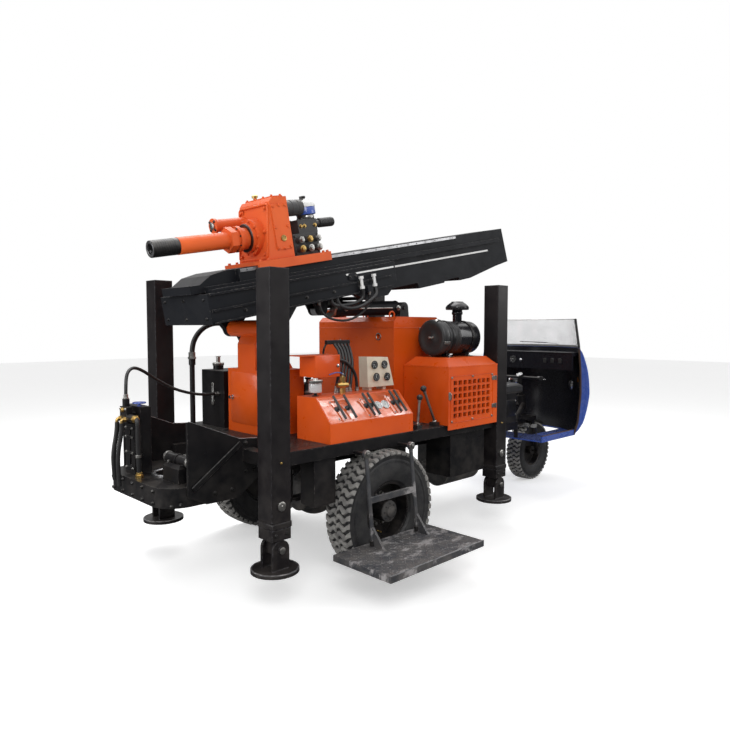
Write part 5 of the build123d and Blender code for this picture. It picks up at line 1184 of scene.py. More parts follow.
for k, x in enumerate((1800, 2060)):
    piece(f"cleaner_strap_{k + 1}", turned(strap, at(x, -550, 1624), AHEAD, 64), BLACK)
    feet = [plate(44, 52, 6, at(x, y, 1470.2), AHEAD, ACROSS, 5, 1.2) for y in (-632, -468)]
    piece(f"cleaner_strap_feet_{k + 1}", joined(*feet), BLACK)
    bolts(f"cleaner_strap_bolts_{k + 1}", [at(x, y, 1475.2) for y in (-632, -468)], VERTICAL, 15, ZINC)
for k, a in enumerate((0.5, 1.9, 3.4, 4.8)):
    way = np.array([0, math.cos(a), math.sin(a)])
    base = END + way * 0.147
    line = [base + AHEAD * ahead + way * out for ahead, out in ((0.066, -0.009), (0.04, 0.004), (0, 0.006),
                                                               (-0.012, -0.006))]
    piece(f"cleaner_cap_clip_{k + 1}", carried(smooth_path(line, 16), box_section(22, 3.5, 1), up=way), ZINC)
HOOD = at(2005, -550, 1858)
cap = [(-44, 0), (-44, 43), (-40, 45), (-24, 45), (-20, 42), (-2, 42), (-2, 60), (-4, 92.5), (2, 95), (20, 95),
       (30, 88), (46, 70), (58, 50), (65, 26), (67, 0)]
piece("intake_hood", turned(cap, HOOD, VERTICAL, 56), GLOSS)


def upright_ribs(centre, radius, low, high, section, count):
    """Short upright ribs on a circle about centre, from low to high above it, all in metres."""
    shapes = []
    for a in np.arange(count) * 2 * math.pi / count:
        x, y = math.cos(a), math.sin(a)
        line = [centre + np.array([radius * x, radius * y, z]) for z in (low, high)]
        shapes.append(carried(line, section, up=(x, y, 0)))
    return joined(*shapes)


piece("intake_hood_fins", upright_ribs(HOOD, 0.0935, 0.001, 0.019, box_section(9, 6, 1.5), 24), PLASTIC)
elbow = [at(*p) for p in ((2148, -540, 1650), (2190, -534, 1648), (2222, -520, 1645), (2250, -478, 1635),
                          (2256, -420, 1623), (2240, -345, 1609), (2208, -270, 1597), (2184, -232, 1575),
                          (2180, -225, 1540), (2180, -225, 1502))]
piece("outlet_elbow", banded(elbow, [36, 36, 39, 36, 39, 36, 39, 36, 36, 36], 90, 28), BLUE)
for k, (place, way) in enumerate((((2160, -538, 1650), (1, 0.1, 0)), ((2180, -225, 1515), VERTICAL))):
    piece(f"outlet_clip_{k + 1}", turned(band(7, 37, 39.2), at(*place), way, 40), CHROME)
print("air cleaner pieces:", len([n for n in PIECES if "cleaner" in n or "intake" in n or "outlet" in n]))

# %% [markdown]
# The big tank is folded from sheet too, so its corners are round and one weld runs below the
# top. A tank has a filler with a vented cap, a level glass, a drain and lifting eyes. The small
# black tank holds the hammer's oil and has a dipstick cap and a level pipe of its own.

# %% Tanks
weld = [at(x, y, 1706) for x, y in ((1468.6, 598), (1468.6, -331.4), (2038, -331.4))]
bead = [weld[0] + (weld[1] - weld[0]) * t for t in np.linspace(0, 1, 40)]
bead += [weld[1] + (weld[2] - weld[1]) * t for t in np.linspace(0.02, 1, 30)]
wave = np.array(bead) + np.array([0, 0, 0.0015]) * np.sin(np.arange(len(bead)) * 2.3)[:, None]
piece("tank_weld", carried(wave, ring_section(3.2, 6)), ORANGE)
FILLER = at(1620, 480, 1840)
fill_cap = [(-6, 0), (-6, 60), (2, 62), (20, 62), (24, 58), (25, 20), (31, 18), (31, 0)]
piece("tank_filler_cap", turned(fill_cap, FILLER, VERTICAL, 48), BLACK)
piece("tank_cap_grips", upright_ribs(FILLER, 0.0625, 0.003, 0.018, box_section(5, 3, 0.8), 20), BLACK)
hole_rim = [(0, 22), (0, 30), (-3, 31), (-5, 28), (-5, 23), (-3, 21.5), (0, 22)]
piece("tank_sight_rim", turned(hole_rim, at(1470, -157, 1633), AHEAD, 36), ZINC)
level = curve(44, (1466, 300, 1050), (1452, 300, 1050), (1450, 300, 1080), (1450, 300, 1560), (1452, 300, 1590),
              (1466, 300, 1590))
piece("tank_level_pipe", carried(level, ring_section(8, 12), up=ACROSS), GLASS)
elbow = [(0, 0), (0, 14), (14, 14), (18, 10), (18, 0)]
ends = [turned(elbow, at(1470, 300, z), ASTERN, 6) for z in (1050, 1590)]
piece("tank_level_ends", joined(*ends), BRASS)
drain = [(0, 0), (0, 26), (8, 26), (10, 18), (26, 18), (28, 0)]
piece("tank_drain", turned(drain, at(1470, 150, 990), ASTERN, 24), ZINC)
for k, (x, y) in enumerate(((1530, -250), (1980, 520))):
    hoop = curve(22, (x - 26, y, 1795), (x - 26, y, 1822), (x, y, 1838), (x + 26, y, 1822), (x + 26, y, 1795))
    piece(f"tank_lifting_eye_{k + 1}", carried(hoop, ring_section(6.5, 12), up=ACROSS), ORANGE)
oil_cap = [(-2, 0), (-2, 43), (0, 44), (16, 45), (22, 40), (24, 16), (62, 16), (64, 20), (70, 20), (72, 14), (72, 0)]
piece("oil_filler_cap", turned(oil_cap, at(400, 560, 1412), VERTICAL, 36), ZINC)
piece("oil_level_frame", plate(34, 170, 8, at(299.5, 470, 1200), -ACROSS, VERTICAL, 9, 2), ZINC)
piece("oil_level_window", plate(16, 124, 6, at(290.2, 470, 1200), -ACROSS, VERTICAL, 3, 1), GLASS)
print("tank pieces:", len([n for n in PIECES if "tank" in n or "oil" in n]))

# %% [markdown]
# The cab is no more than a moulded cowl with a screen, a floor tray and a motorcycle's handlebar,
# as on a freight tricycle. Its screen sits in a rubber strip between two dark posts, and trim
# strips cover the sheet's raw edges where a driver climbs in.

# %% Screen frame and cowl trim
CAB_X = 3706
COWL = np.array([(560, 650), (700, 690), (1000, 714), (1250, 708), (1490, 690)], float)


def round_cab(radius, degrees, z):
    """Point of the cab at that radius from its upright axis, degrees to the left of ahead."""
    a = np.radians(degrees)
    return at(CAB_X + np.asarray(radius) * np.cos(a), np.asarray(radius) * np.sin(a), z)


def cowl_radius(z):
    """Outer radius of the blue cowl at height z."""
    return np.interp(z, COWL[:, 0], COWL[:, 1])


sweep = np.linspace(-59.4, 59.4, 41)
piece("screen_lower_rubber", carried(round_cab(683.5, sweep, 1499), box_section(12, 30, 4)), HOSE)
piece("screen_top_frame", carried(round_cab(638, sweep, 1796), box_section(8, 6, 2)), ZINC)
inner = [(float(cowl_radius(z)) - 714.3, z - 1000) for z in np.linspace(576, 1488, 14)]
inner += [(r - 3, z) for r, z in inner[::-1]]
piece("cowl_lining", carried(round_cab(700, sweep * 0.995, 1000), inner), LINER)
lift_z = np.linspace(1491, 1799, 12)
lean = (lift_z - 1490) * 44 / 310


def flare(side, rows=24, sheet=0.0026):
    """The cowl's edge turned outwards: a bent sheet whose outer half is rolled back a little."""
    share = np.linspace(0, 1, rows)
    z = 575 + 905 * share
    wide = 84 * np.sin(math.pi * share) ** 0.6 + 6
    rolled = np.concatenate([np.zeros(6), 7 * np.sin(np.linspace(0, math.pi, 7))])
    back = np.array([0.5, side * -0.87, 0]) * 0.001
    lines = [round_cab(cowl_radius(z) - 9 + wide * k / 12, side * 60.3, z) - back * d for k, d in enumerate(rolled)]
    front = np.stack(lines, axis=1)
    thick = np.array([sheet * math.sin(math.radians(60)), sheet * side * -0.5, 0])
    skin = np.concatenate([front, (front - thick)[:, ::-1]], axis=1)
    around = skin.shape[1]
    last = (rows - 1) * around
    faces = [list(q) for q in grid_faces(rows, around)] + [list(range(around)), list(range(last, last + around))]
    return skin.reshape(-1, 3), faces


for side, name in SIDES:
    post = round_cab(682 - lean, side * (59.2 - lean * 0.002), lift_z)
    piece(f"screen_post_{name}", carried(post, box_section(16, 34, 5), up=AHEAD), PLASTIC)
    z = np.linspace(568, 1486, 30)
    edge = round_cab(cowl_radius(z) - 7, side * 60.0, z)
    piece(f"cowl_edge_trim_{name}", carried(edge, box_section(22, 13, 4), up=AHEAD), TRIM)
    piece(f"cowl_flare_{name}", flare(side), BLUE)
    sill = at(np.linspace(3384, 4010, 14), side * 552.5, 622)
    piece(f"sill_top_trim_{name}", carried(sill, box_section(19, 8, 3)), TRIM)
    rib = at(np.linspace(3390, 4000, 10), side * 560.5, 590)
    piece(f"sill_rib_{name}", carried(rib, box_section(3, 12, 1)), BLUE)
for k, z in enumerate((820, 1180, 1400)):
    crease = round_cab(cowl_radius(z) + 0.5, np.linspace(-58, 58, 50), z)
    piece(f"cowl_crease_{k + 1}", carried(crease, box_section(3, 9, 1.2)), BLUE)
arm = smooth_path([round_cab(684, -14, 1516), round_cab(686, -8, 1527), round_cab(685, 12, 1532)], 16)
piece("wiper_arm", carried(arm, box_section(9, 5, 1.5)), PLASTIC)
blade = smooth_path([round_cab(684, -2, 1534), round_cab(684, 12, 1537), round_cab(683, 26, 1541)], 16)
piece("wiper_blade", carried(blade, box_section(6, 10, 1.5)), HOSE)
print("cab trim:", len([n for n in PIECES if "cowl" in n or "screen" in n or "sill" in n]))

# %% [markdown]
# Lamps sit in the cowl's nose: two round headlamps with fluted glass and an amber turn lamp at
# each side. A reflector is a polished bowl, so it is turned as a bowl and given a mirror finish
# with the glass in front of it.

# %% Lamps
AMBER = clear("amber_lens", (0.95, 0.32, 0.03), 0.12, milky=0.35)
bowl = [(-20, 0), (-19, 30), (-10, 60), (4, 76), (10, 80), (13, 76), (13, 70), (4, 66), (-6, 54), (-13, 28), (-14, 0)]
disc = [(70 * math.cos(t), 70 * math.sin(t)) for t in np.linspace(0, 2 * math.pi, 40)[:-1]]
lens = [(-8, 0), (-8, 27), (2, 30), (6, 28), (14, 20), (17, 8), (17.5, 0)]


def outward(degrees):
    """Level direction away from the cab's upright axis."""
    a = math.radians(degrees)
    return np.array([math.cos(a), math.sin(a), 0.0])


for side, name in SIDES:
    out, spot = outward(side * 32.0), round_cab(703, side * 32.0, 1080)
    piece(f"headlamp_bowl_{name}", turned(bowl, spot, out, 48), CHROME)
    glass = slab(disc, spot + out * 0.009, (-out[1], out[0], 0), VERTICAL, 3, 1)
    piece(f"headlamp_glass_{name}", glass, GLASS)
    amber = turned(lens, round_cab(700, side * 50.0, 1150), outward(side * 50.0), 32)
    piece(f"turn_lamp_{name}", amber, AMBER)
print("lamps done")

# %% [markdown]
# The handlebar has rubber grips with finger rings, two brake levers and a round meter on its
# clamp, all off the shelf from a motorcycle. On the dash there is one more gauge, a shelf lip
# and a key switch, and a pedal stands on the floor tray.

# %% Handlebar, dash and pedals
BAR_Z = 1160.0
for side, name in SIDES:
    a, b = at(3855, side * 260, BAR_Z), at(3735, side * 330, BAR_Z + 10)
    way = unit(b - a)
    long = float(np.linalg.norm(b - a)) * 1000
    rings = [(20, 17.5), (22, 24), (26, 24), (28, 20.5)]
    for k in range(10):
        rings += [(32 + 9.5 * k, 21.2), (36 + 9.5 * k, 22.4), (38 + 9.5 * k, 20.6)]
    rings += [(long - 1, 22), (long - 0.5, 17), (20, 17), (20, 17.5)]
    piece(f"hand_grip_{name}", turned(rings, a, way, 28), HOSE, "steering")
    bends = ((0.008, 0.02, 0, -0.01), (0.03, 0.045, 0.012, -0.012), (0.09, 0.05, 0.022, -0.014),
             (0.115, 0.045, 0.02, -0.014))
    lever = smooth_path([a + way * t + np.array([x, side * y, z]) for t, x, y, z in bends], 20)
    piece(f"brake_lever_{name}", carried(lever, box_section(9, 6, 2)), CHROME, "steering")
    clamp = turned(band(14, 17, 24), a - np.array([0, side * 0.022, 0]), ACROSS, 24)
    piece(f"lever_clamp_{name}", clamp, DARK_BOLT, "steering")
gauge("speed_meter", at(3842, 0, 1186), unit([-0.6, 0, 0.8]), 38, dark=True, lean=-2.0, body="steering")
DASH_X = 3960
gauge("dash_meter", at(DASH_X, 160, 1352), ASTERN, 42, dark=True, lean=-1.6)
gauge("air_meter", at(DASH_X, 270, 1352), ASTERN, 30, dark=True, lean=0.5)
lip = [at(3956, y, 1441) for y in np.linspace(-556, 556, 15)]
piece("dash_lip", carried(lip, box_section(12, 9, 3)), PLASTIC)
key = [(0, 0), (0, 16), (4, 17), (7, 13), (8, 6), (20, 5), (21, 0)]
piece("key_switch", turned(key, at(DASH_X, 60, 1345), ASTERN, 24), CHROME)
for k, y in enumerate((-420, -330, -240)):
    piece(f"dash_switch_{k + 1}", plate(36, 52, 6, at(DASH_X, y, 1350), -ACROSS, VERTICAL, 8, 2.5), PLASTIC)
for k, y in enumerate((-200, -300)):
    stem = curve(18, (3700, y, 573), (3706, y, 600), (3690, y, 645), (3660, y, 672))
    piece(f"pedal_stem_{k + 1}", carried(stem, box_section(14, 12, 3), up=ACROSS), DARK_BOLT)
    piece(f"pedal_pad_{k + 1}", plate(68, 52, 8, at(3654, y, 672), ACROSS, unit([0.7, 0, 0.7]), 10, 2), HOSE)
mat_ribs = [carried([at(3400, y, 573.2), at(3680, y, 573.2)], box_section(7, 4, 1)) for y in range(-525, 526, 30)]
piece("floor_mat_ribs", joined(*mat_ribs), HOSE)
print("handlebar and dash:", len(PIECES))

# %% [markdown]
# The seat's cushion is foam in vinyl, stitched at the rim and pulled in by two seams. It is
# inflated in a short cloth run: the cover's cells are blown up a little against their seams,
# which gives the folds that no formula draws. The piping is a cord stitched into the seam.

# %% Seat cushion
def pad_block(x0, x1, y0, y1, z0, z1, swell):
    """Closed pad whose sides are pulled in between the corners and whose top is crowned by swell."""
    u, v = np.meshgrid(np.linspace(-1, 1, 45), np.linspace(-1, 1, 61), indexing="ij")
    lens = (1 - np.abs(u) ** 6) * (1 - np.abs(v) ** 6)
    waist = 1 - 0.018 * (1 - np.abs(v) ** 3) * np.abs(u) ** 6
    x = (x0 + x1) / 2 + (x1 - x0) / 2 * u * waist
    y = (y0 + y1) / 2 + (y1 - y0) / 2 * v * (1 - 0.014 * (1 - np.abs(u) ** 3) * np.abs(v) ** 6)
    top = at(x, y, z1 - swell + swell * lens ** 0.4 - 16 * (1 - lens) ** 6)
    low = at(x, y, np.full_like(x, z0))
    n, m = u.shape
    up_faces = grid_faces(n, m, wrap_columns=False)
    rim = list(range(m)) + [i * m + m - 1 for i in range(1, n)]
    rim += [(n - 1) * m + k for k in range(m - 2, -1, -1)] + [i * m for i in range(n - 2, 0, -1)]
    after = rim[1:] + rim[:1]
    walls = [[a, b, b + n * m, a + n * m] for a, b in zip(rim, after)]
    faces = up_faces.tolist() + (up_faces[:, ::-1] + n * m).tolist() + walls
    return np.concatenate([top.reshape(-1, 3), low.reshape(-1, 3)]), faces


def corner_places(mesh):
    """The mesh's points as rows of x, y, z."""
    flat = np.empty(len(mesh.vertices) * 3)
    mesh.vertices.foreach_get("co", flat)
    return flat.reshape(-1, 3)


def puff(obj, floor, cap=0.010, pressure=4.0, cell=0.006, frames=20):
    """Remeshes obj to even cells and blows it up as cloth, its underside held to the seat's pan."""
    scene = bpy.context.scene
    cells = obj.modifiers.new("cells", "REMESH")
    cells.mode = "VOXEL"
    cells.voxel_size = cell
    even = bpy.data.meshes.new_from_object(obj.evaluated_get(bpy.context.evaluated_depsgraph_get()))
    obj.modifiers.clear()
    obj.data = even
    before = corner_places(even)
    held = obj.vertex_groups.new(name="underside")
    held.add([int(k) for k in np.nonzero(before[:, 2] < floor + 0.012)[0]], 1.0, "REPLACE")
    cloth = obj.modifiers.new("cover", "CLOTH")
    cloth.settings.use_pressure = True
    cloth.settings.uniform_pressure_force = pressure
    cloth.settings.effector_weights.gravity = 0.0
    cloth.settings.vertex_group_mass = held.name
    cloth.point_cache.frame_start, cloth.point_cache.frame_end = 1, frames
    for number in range(1, frames + 1):
        scene.frame_set(number)
    move = corner_places(obj.evaluated_get(bpy.context.evaluated_depsgraph_get()).to_mesh()) - before
    far = np.linalg.norm(move, axis=1, keepdims=True)
    move *= np.minimum(1.0, cap / np.maximum(far, 1e-9))
    obj.modifiers.clear()
    even.vertices.foreach_set("co", (before + move).ravel())
    even.update()
    scene.frame_set(1)
    print(obj.name, "vertices", len(before), "largest move mm", round(float(far.max()) * 1000, 1))


def sew(obj, seams, depth=0.006, width=0.008):
    """Presses a channel into the top along each seam: z falls by depth * exp(-(distance / width)^2)."""
    place = corner_places(obj.data)
    top = np.clip((place[:, 2] - place[:, 2].max() + 0.04) / 0.02, 0, 1)
    for y in seams:
        place[:, 2] -= top * depth * np.exp(-((place[:, 1] - y) / width) ** 2)
    obj.data.vertices.foreach_set("co", place.ravel())
    obj.data.update()


seat_pad = piece("seat_cushion", pad_block(2986, 3424, -302, 302, 1053, 1144, 16), VINYL, smooth=60)
puff(seat_pad, floor=1.053)
sew(seat_pad, [float(at(0, y, 0)[1]) for y in (-104, 104)])
seat_pad.data.shade_smooth()
rounder = seat_pad.modifiers.new("rounder", "SUBSURF")
rounder.levels = rounder.render_levels = 1
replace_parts(seat_pad, "seat")
a = np.linspace(0, 2 * math.pi, 120, endpoint=False)
round_x, round_y = (np.sign(wave) * np.abs(wave) ** 0.16 for wave in (np.cos(a), np.sin(a)))
welt = at(3205 + 220 * round_x, 303 * round_y, 1118)
piece("seat_piping", carried(welt, ring_section(3.2, 10), closed=True), HOSE)
piece("seat_box", slab(box_outline(0, 340, 0, 600, 14), at(2990, -300, 745), AHEAD, ACROSS, 303, 4), BLACK)
piece("seat_pan", slab(box_outline(0, 444, 0, 612, 20), at(2983, -306, 1044), AHEAD, ACROSS, 9, 2), BLACK)
piece("seat_box_lid", plate(300, 170, 16, at(3160, -300.3, 900), AHEAD, VERTICAL, 4, 1.2), BLACK)
screws = [at(3160 + i * 132, -304.3, 900 + j * 68) for i in (-1, 1) for j in (-1, 1)]
bolts("seat_box_lid_screws", screws, -ACROSS, 13, ZINC, tall=0.4)
print("seat done, pieces:", len(PIECES))

# %% [markdown]
# The table at the rear takes the drill pipe's weight, so it is thick plate with a bushing in its
# hole. Beside the hole a clamp with two cylinders breaks the pipe joints. On the left stands a
# column with the air valves that the driller opens to feed the hammer.

# %% Table, clamp, column
HOLE_X = -283
bush = [(0, 112), (0, 138), (6, 138), (9, 134), (9, 118), (5, 111), (-118, 111), (-118, 110.4), (0, 110.4), (0, 112)]
piece("table_bushing", turned(bush, at(HOLE_X, 0, 760), VERTICAL, 64), BARE_STEEL)
circle = ring_of(at(HOLE_X, 0, 765), VERTICAL, 128, 8, 0.3)
bolts("table_bushing_bolts", circle, VERTICAL, 13, washer=False)
rear_bolts = [at(-560, y, z) for y in (-280, -140, 0, 140, 280) for z in (664, 736)]
bolts("table_rear_bolts", rear_bolts, ASTERN, 20)
bolts("table_side_bolts", [at(x, -430, 664) for x in (-520, -460)], -ACROSS, 20)
cap = [(-2, 0), (-2, 36), (14, 36), (18, 32), (18, 20), (24, 20), (26, 14), (26, 0)]
for k, x in enumerate((-360, -200)):
    for side, y, name in ((-1, -360, "rear"), (1, -100, "front")):
        piece(f"clamp_cylinder_cap_{k + 1}_{name}", turned(cap, at(x, y, 890), ACROSS * side, 28), ZINC)
    piece(f"clamp_cylinder_band_{k + 1}", turned(band(8, 32.3, 37), at(x, -230, 890), ACROSS, 36), BLACK)
    line = curve(30, (x + 36, -330, 890), (x + 56, -325, 893), (x + 58, -230, 905), (x + 54, -135, 893),
                 (x + 34, -130, 890))
    piece(f"clamp_pipe_{k + 1}", carried(line, ring_section(6, 10)), ZINC)
bolts("clamp_bolts", [at(x, -165, 870) for x in (-395, -280, -165)], VERTICAL, 24)
teeth = [plate(10, 44, 2, at(HOLE_X + 62 * math.cos(t), -128, 815 + 40 * math.sin(3 * t)), AHEAD, VERTICAL, 8, 2)
         for t in np.linspace(0.4, 2.7, 7)]
piece("clamp_jaw_teeth", joined(*teeth), BARE_STEEL)
print("table and clamp:", len(PIECES))

# %% [markdown]
# The air valve is strapped to the column: a block under a bolted bonnet, brass ports, a small
# hand wheel on top and the lines that lead down from it. The two that only hang are drawn the
# way the free hoses are, with their far ends open.

# %% Air valves on the column
COLUMN_Y = 160
for k, z in enumerate((800, 900, 1000, 1060)):
    piece(f"column_strap_{k + 1}", plate(116, 18, 3, at(-500.3, COLUMN_Y, z), -ACROSS, VERTICAL, 5, 1.2), BLACK)
    bolts(f"column_strap_bolts_{k + 1}", [at(-505.3, COLUMN_Y + i * 46, z) for i in (-1, 1)], ASTERN, 13, ZINC)
bonnet = [at(-540, COLUMN_Y + i * 36, 1148 + j * 38) for i in (-1, 1) for j in (-1, 1)]
bolts("air_valve_bonnet_bolts", bonnet, ASTERN, 14, ZINC)
for k, (y, z, size) in enumerate(((125, 1122, 15), (160, 1180, 13), (196, 1122, 15))):
    nut = [(0, 0), (0, size * 1.25), (10, size * 1.25), (11, size * 0.9), (16, size * 0.9), (17, 0)]
    piece(f"air_valve_port_{k + 1}", turned(nut, at(-539.8, y, z), ASTERN, 6), BRASS)
line = curve(44, (-520, 42, 1130), (-520, 20, 1130), (-520, 2, 1122), (-520, -4, 1100), (-520, -4, 1060),
             (-518, -2, 900), (-512, 2, 775))
piece("air_line_down", carried(line, ring_section(15, 16)), HOSE)
nut = [(0, 15.4), (0, 25), (20, 25), (22, 19), (34, 19), (36, 15.4), (0, 15.4)]
piece("air_line_nut_top", turned(nut, at(-520, 40, 1130), -ACROSS, 6), BRASS)
piece("air_line_nut_low", turned(nut, at(-512, 2, 761), VERTICAL, 6), BRASS)
piece("air_line_clip", turned(band(9, 15.3, 19), at(-518, -2, 900), VERTICAL, 24), ZINC)
piece("air_line_bracket", slab(box_outline(0, 60, -9, 9, 2), at(-499, 14, 900), ACROSS, VERTICAL, 20, 2), BLACK)
for k, (y, end) in enumerate(((126, 700), (196, 730))):
    port = curve(14, (-545, y, 1122), (-558, y, 1121), (-565, y, 1114), (-566, y, 1100))
    piece(f"drop_elbow_{k + 1}", carried(port, ring_section(11, 14)), BRASS)
    drop = [at(-566, y, 1101), at(-566, y, 1050), at(-596, y + 3, 900), at(-594, y - 4, end + 60),
            at(-590, y - 3, end)]
    hanging_hose(f"drop_line_{k + 1}", 28, "chassis", drop)
HAND_WHEEL = at(-450, 120, 1222)
circle = ring_of(HAND_WHEEL, VERTICAL, 38, 36)
piece("air_wheel_rim", carried(circle, ring_section(5, 10), closed=True), BLUE)
spokes = [carried([HAND_WHEEL, p], box_section(8, 5, 1.5)) for p in circle[::12]]
hub = [(-22, 0), (-22, 16), (-16, 16), (-14, 9), (4, 9), (7, 6), (7, 0)]
piece("air_wheel_spokes", joined(*spokes, turned(hub, HAND_WHEEL, VERTICAL, 20)), BLUE)
print("column pieces:", len(PIECES))

# %% [markdown]
# Chassis plate is joined by bolts and welds where loads pass through: webs to legs, cross
# members to rails, springs to axle. The deck and the hanging step are chequer plate, rolled with
# short raised bars in two directions, so that boots grip and water runs off.

# %% Webs, step, chequer plate
web_holes = ((-20, 800), (-20, 900), (-20, 980), (-120, 700), (-240, 700), (40, 800), (40, 920))
for side, name in SIDES:
    bolts(f"web_bolts_{name}", [at(x, side * 450, z) for x, z in web_holes], ACROSS * side, 22)
    stay = [at(-392, side * 456, 745), at(-60, side * 456, 985)]
    piece(f"web_stay_{name}", carried(stay, box_section(12, 34, 3)), BLACK)
    # A strip of bright steel along each web's top edge is a painted highlight on that edge.
    edge = [at(x, side * 440, z) for x, z in ((-404, 1152.5), (-62, 1012.5), (66, 1002.5))]
    piece(f"web_edge_highlight_{name}", carried(edge, box_section(19, 3.5, 1)), BARE_STEEL)
bar = [(-17, 0), (-10, 3.2), (10, 3.2), (17, 0), (10, -3.2), (-10, -3.2)]
bars = [slab(bar, (0, 0, 0), (1, way, 0), (-way, 1, 0), 2.0, 0.8) for way in (1, -1)]


def chequer(name, x0, x1, y0, y1, z, finish, skip=(), pitch=34):
    """Raised bars over a plate at height z, their direction changing from place to place.

    skip holds the rectangles, as x0, x1, y0, y1, that other parts stand on.
    """
    shapes = []
    xs = np.arange(x0 + 18, x1 - 12, pitch)
    ys = np.arange(y0 + 18, y1 - 12, pitch)
    for k, (points, faces) in enumerate(bars):
        spots = [at(x, y, z) for i, x in enumerate(xs) for j, y in enumerate(ys) if (i + j) % 2 == k
                 and not any(a < x < b and c < y < d for a, b, c, d in skip)]
        quads = np.array([f for f in faces if len(f) == 4])
        lids = np.array([f for f in faces if len(f) != 4])
        places = [(np.eye(3), s - np.array([0, 0, 0.0005])) for s in spots]
        shapes += [copies(points, quads, places), copies(points, lids, places)]
    return piece(name, joined(*shapes), finish, smooth=20)


step_bars = ((610, 650, -960, -868), (1047, 1087, -960, -868))
chequer("step_plate_tread", 345, 1255, -1370, -868, 275, PLATE_GREY, skip=step_bars)
chequer("deck_tread", 72, 2238, -700, 700, 950, BLACK, skip=(
    (280, 640, -270, 270), (290, 640, 310, 650), (415, 1235, -700, -395), (1455, 2055, -345, 615),
    (1570, 2250, -700, -320), (2050, 2240, -300, 310), (55, 175, 400, 520), (1310, 1600, -700, -650)))
hook_cap = [(0, 0), (0, 27), (5, 27), (6, 25), (6, 12), (12, 12), (13, 10), (13, 0)]
for x in (630, 1067):
    foot, top = at(x, -940, 270), at(x, -875, 857)
    way = unit(top - foot)
    piece(f"step_bar_collar_{x}", turned(band(16, 14.5, 20), foot + way * 0.03, way, 28), BLACK)
    piece(f"step_hook_cap_{x}", turned(hook_cap, at(x, -885, 877), -ACROSS, 24), ZINC)
curb = [at(345, -1366, 277), at(1255, -1366, 277)]
piece("step_plate_curb", carried(curb, box_section(7, 5, 1)), BARE_STEEL)
print("webs and step:", len(PIECES))

# %% [markdown]
# Each leaf spring is clamped to the axle by bent rods with nuts under a plate. A shaft runs
# from the axle's casing to the engine that drives the rig on the road. The tower is sheet with
# a door, louvres for warm air and welds along its foot, and the black pot beside it adds oil to
# the hammer's air.

# %% Springs, axle, drive line, tower
AXLE_X, CLIP_Y = 907, 41
eye = [(-38, 0), (-38, 20), (-32, 22), (32, 22), (38, 20), (38, 0)]
rod = ring_section(8, 12)
for side, name in SIDES:
    y = side * 400
    for k, x in enumerate((847, 967)):
        for dy in (-CLIP_Y, CLIP_Y):
            leg = carried([at(x, y + dy, 480), at(x, y + dy, 560)], rod, up=AHEAD)
            piece(f"spring_clip_{name}_{k + 1}_{'out' if dy * side > 0 else 'in'}", leg, ZINC)
        top = curve(14, (x, y - CLIP_Y, 552), (x, y - 30, 558), (x, y + 30, 558), (x, y + CLIP_Y, 552))
        piece(f"spring_clip_top_{name}_{k + 1}", carried(top, rod, up=AHEAD), ZINC)
    piece(f"spring_plate_{name}", plate(170, 104, 12, at(AXLE_X, y, 474), AHEAD, ACROSS, 12, 2), BLACK)
    nuts = [at(AXLE_X + i * 60, y + j * CLIP_Y, 474) for i in (-1, 1) for j in (-1, 1)]
    bolts(f"spring_plate_nuts_{name}", nuts, (0, 0, -1), 20, ZINC, tall=0.9)
    for x in (337, 1477):
        piece(f"spring_eye_{name}_{x}", turned(eye, at(x, y, 540), ACROSS, 24), DARK_BOLT)
cover = [(0, 0), (0, 128), (6, 132), (16, 128), (34, 104), (46, 70), (50, 30), (50, 0)]
piece("differential_cover", turned(cover, at(747, 0, 430), ASTERN, 48), CAST)
bolts("differential_bolts", ring_of(at(741, 0, 430), ASTERN, 118, 12), ASTERN, 15)
shaft = [(0, 0), (0, 62), (14, 62), (18, 40), (60, 40), (70, 36), (1150, 36), (1160, 40), (1200, 40), (1206, 62),
         (1222, 62), (1222, 0)]
start, end = at(1085, 0, 432), at(2352, 0, 430)
piece("drive_shaft", turned(shaft, start, end - start, 32), CAST)
pot = [(0, 0), (0, 30), (6, 33), (40, 33), (48, 26), (60, 24), (62, 0)]
for k, x in enumerate((2460, 2620, 2780)):
    piece(f"drive_engine_pot_{k + 1}", turned(pot, at(x, -180, 560), -ACROSS, 32), CAST)
seam_bolts = [at(x, -180, z) for x in range(2400, 2930, 66) for z in (430, 660)]
bolts("drive_engine_bolts", seam_bolts, -ACROSS, 16)
oiler = [(0, 0), (0, 70), (8, 72), (14, 64), (30, 62), (330, 62), (348, 52), (358, 30), (360, 16), (378, 16),
         (380, 24), (392, 24), (394, 0)]
piece("line_oiler", turned(oiler, at(690, -200, 950.2), VERTICAL, 40), BLACK)
for k, z in enumerate((1030, 1240)):
    piece(f"line_oiler_strap_{k + 1}", turned(band(9, 62.2, 66), at(690, -200, z), VERTICAL, 40), ZINC)
feed = curve(20, (690, -140, 1000), (690, -100, 1000), (690, -70, 985), (690, -60, 951))
piece("line_oiler_pipe", carried(feed, ring_section(11, 12)), ZINC)
piece("tower_door", plate(400, 370, 20, at(289.8, 0, 1200), -ACROSS, VERTICAL, 5, 1.5), ORANGE)
for k, z in enumerate((1075, 1325)):
    hinge = turned([(-28, 0), (-28, 8), (28, 8), (28, 0)], at(284, -206, z), VERTICAL, 16)
    piece(f"tower_door_hinge_{k + 1}", hinge, ORANGE)
latch = [(0, 0), (0, 17), (5, 17), (7, 8), (20, 8), (22, 14), (28, 14), (30, 0)]
piece("tower_door_latch", turned(latch, at(284.8, 172, 1200), ASTERN, 24), CHROME)
fin = [(-1, 0), (7, 3), (7, 5), (-1, 9)]
louvres = [carried([at(515, -240.5, z), at(395, -240.5, z)], fin) for z in range(1010, 1370, 26)]
piece("tower_louvres", joined(*louvres), ORANGE)
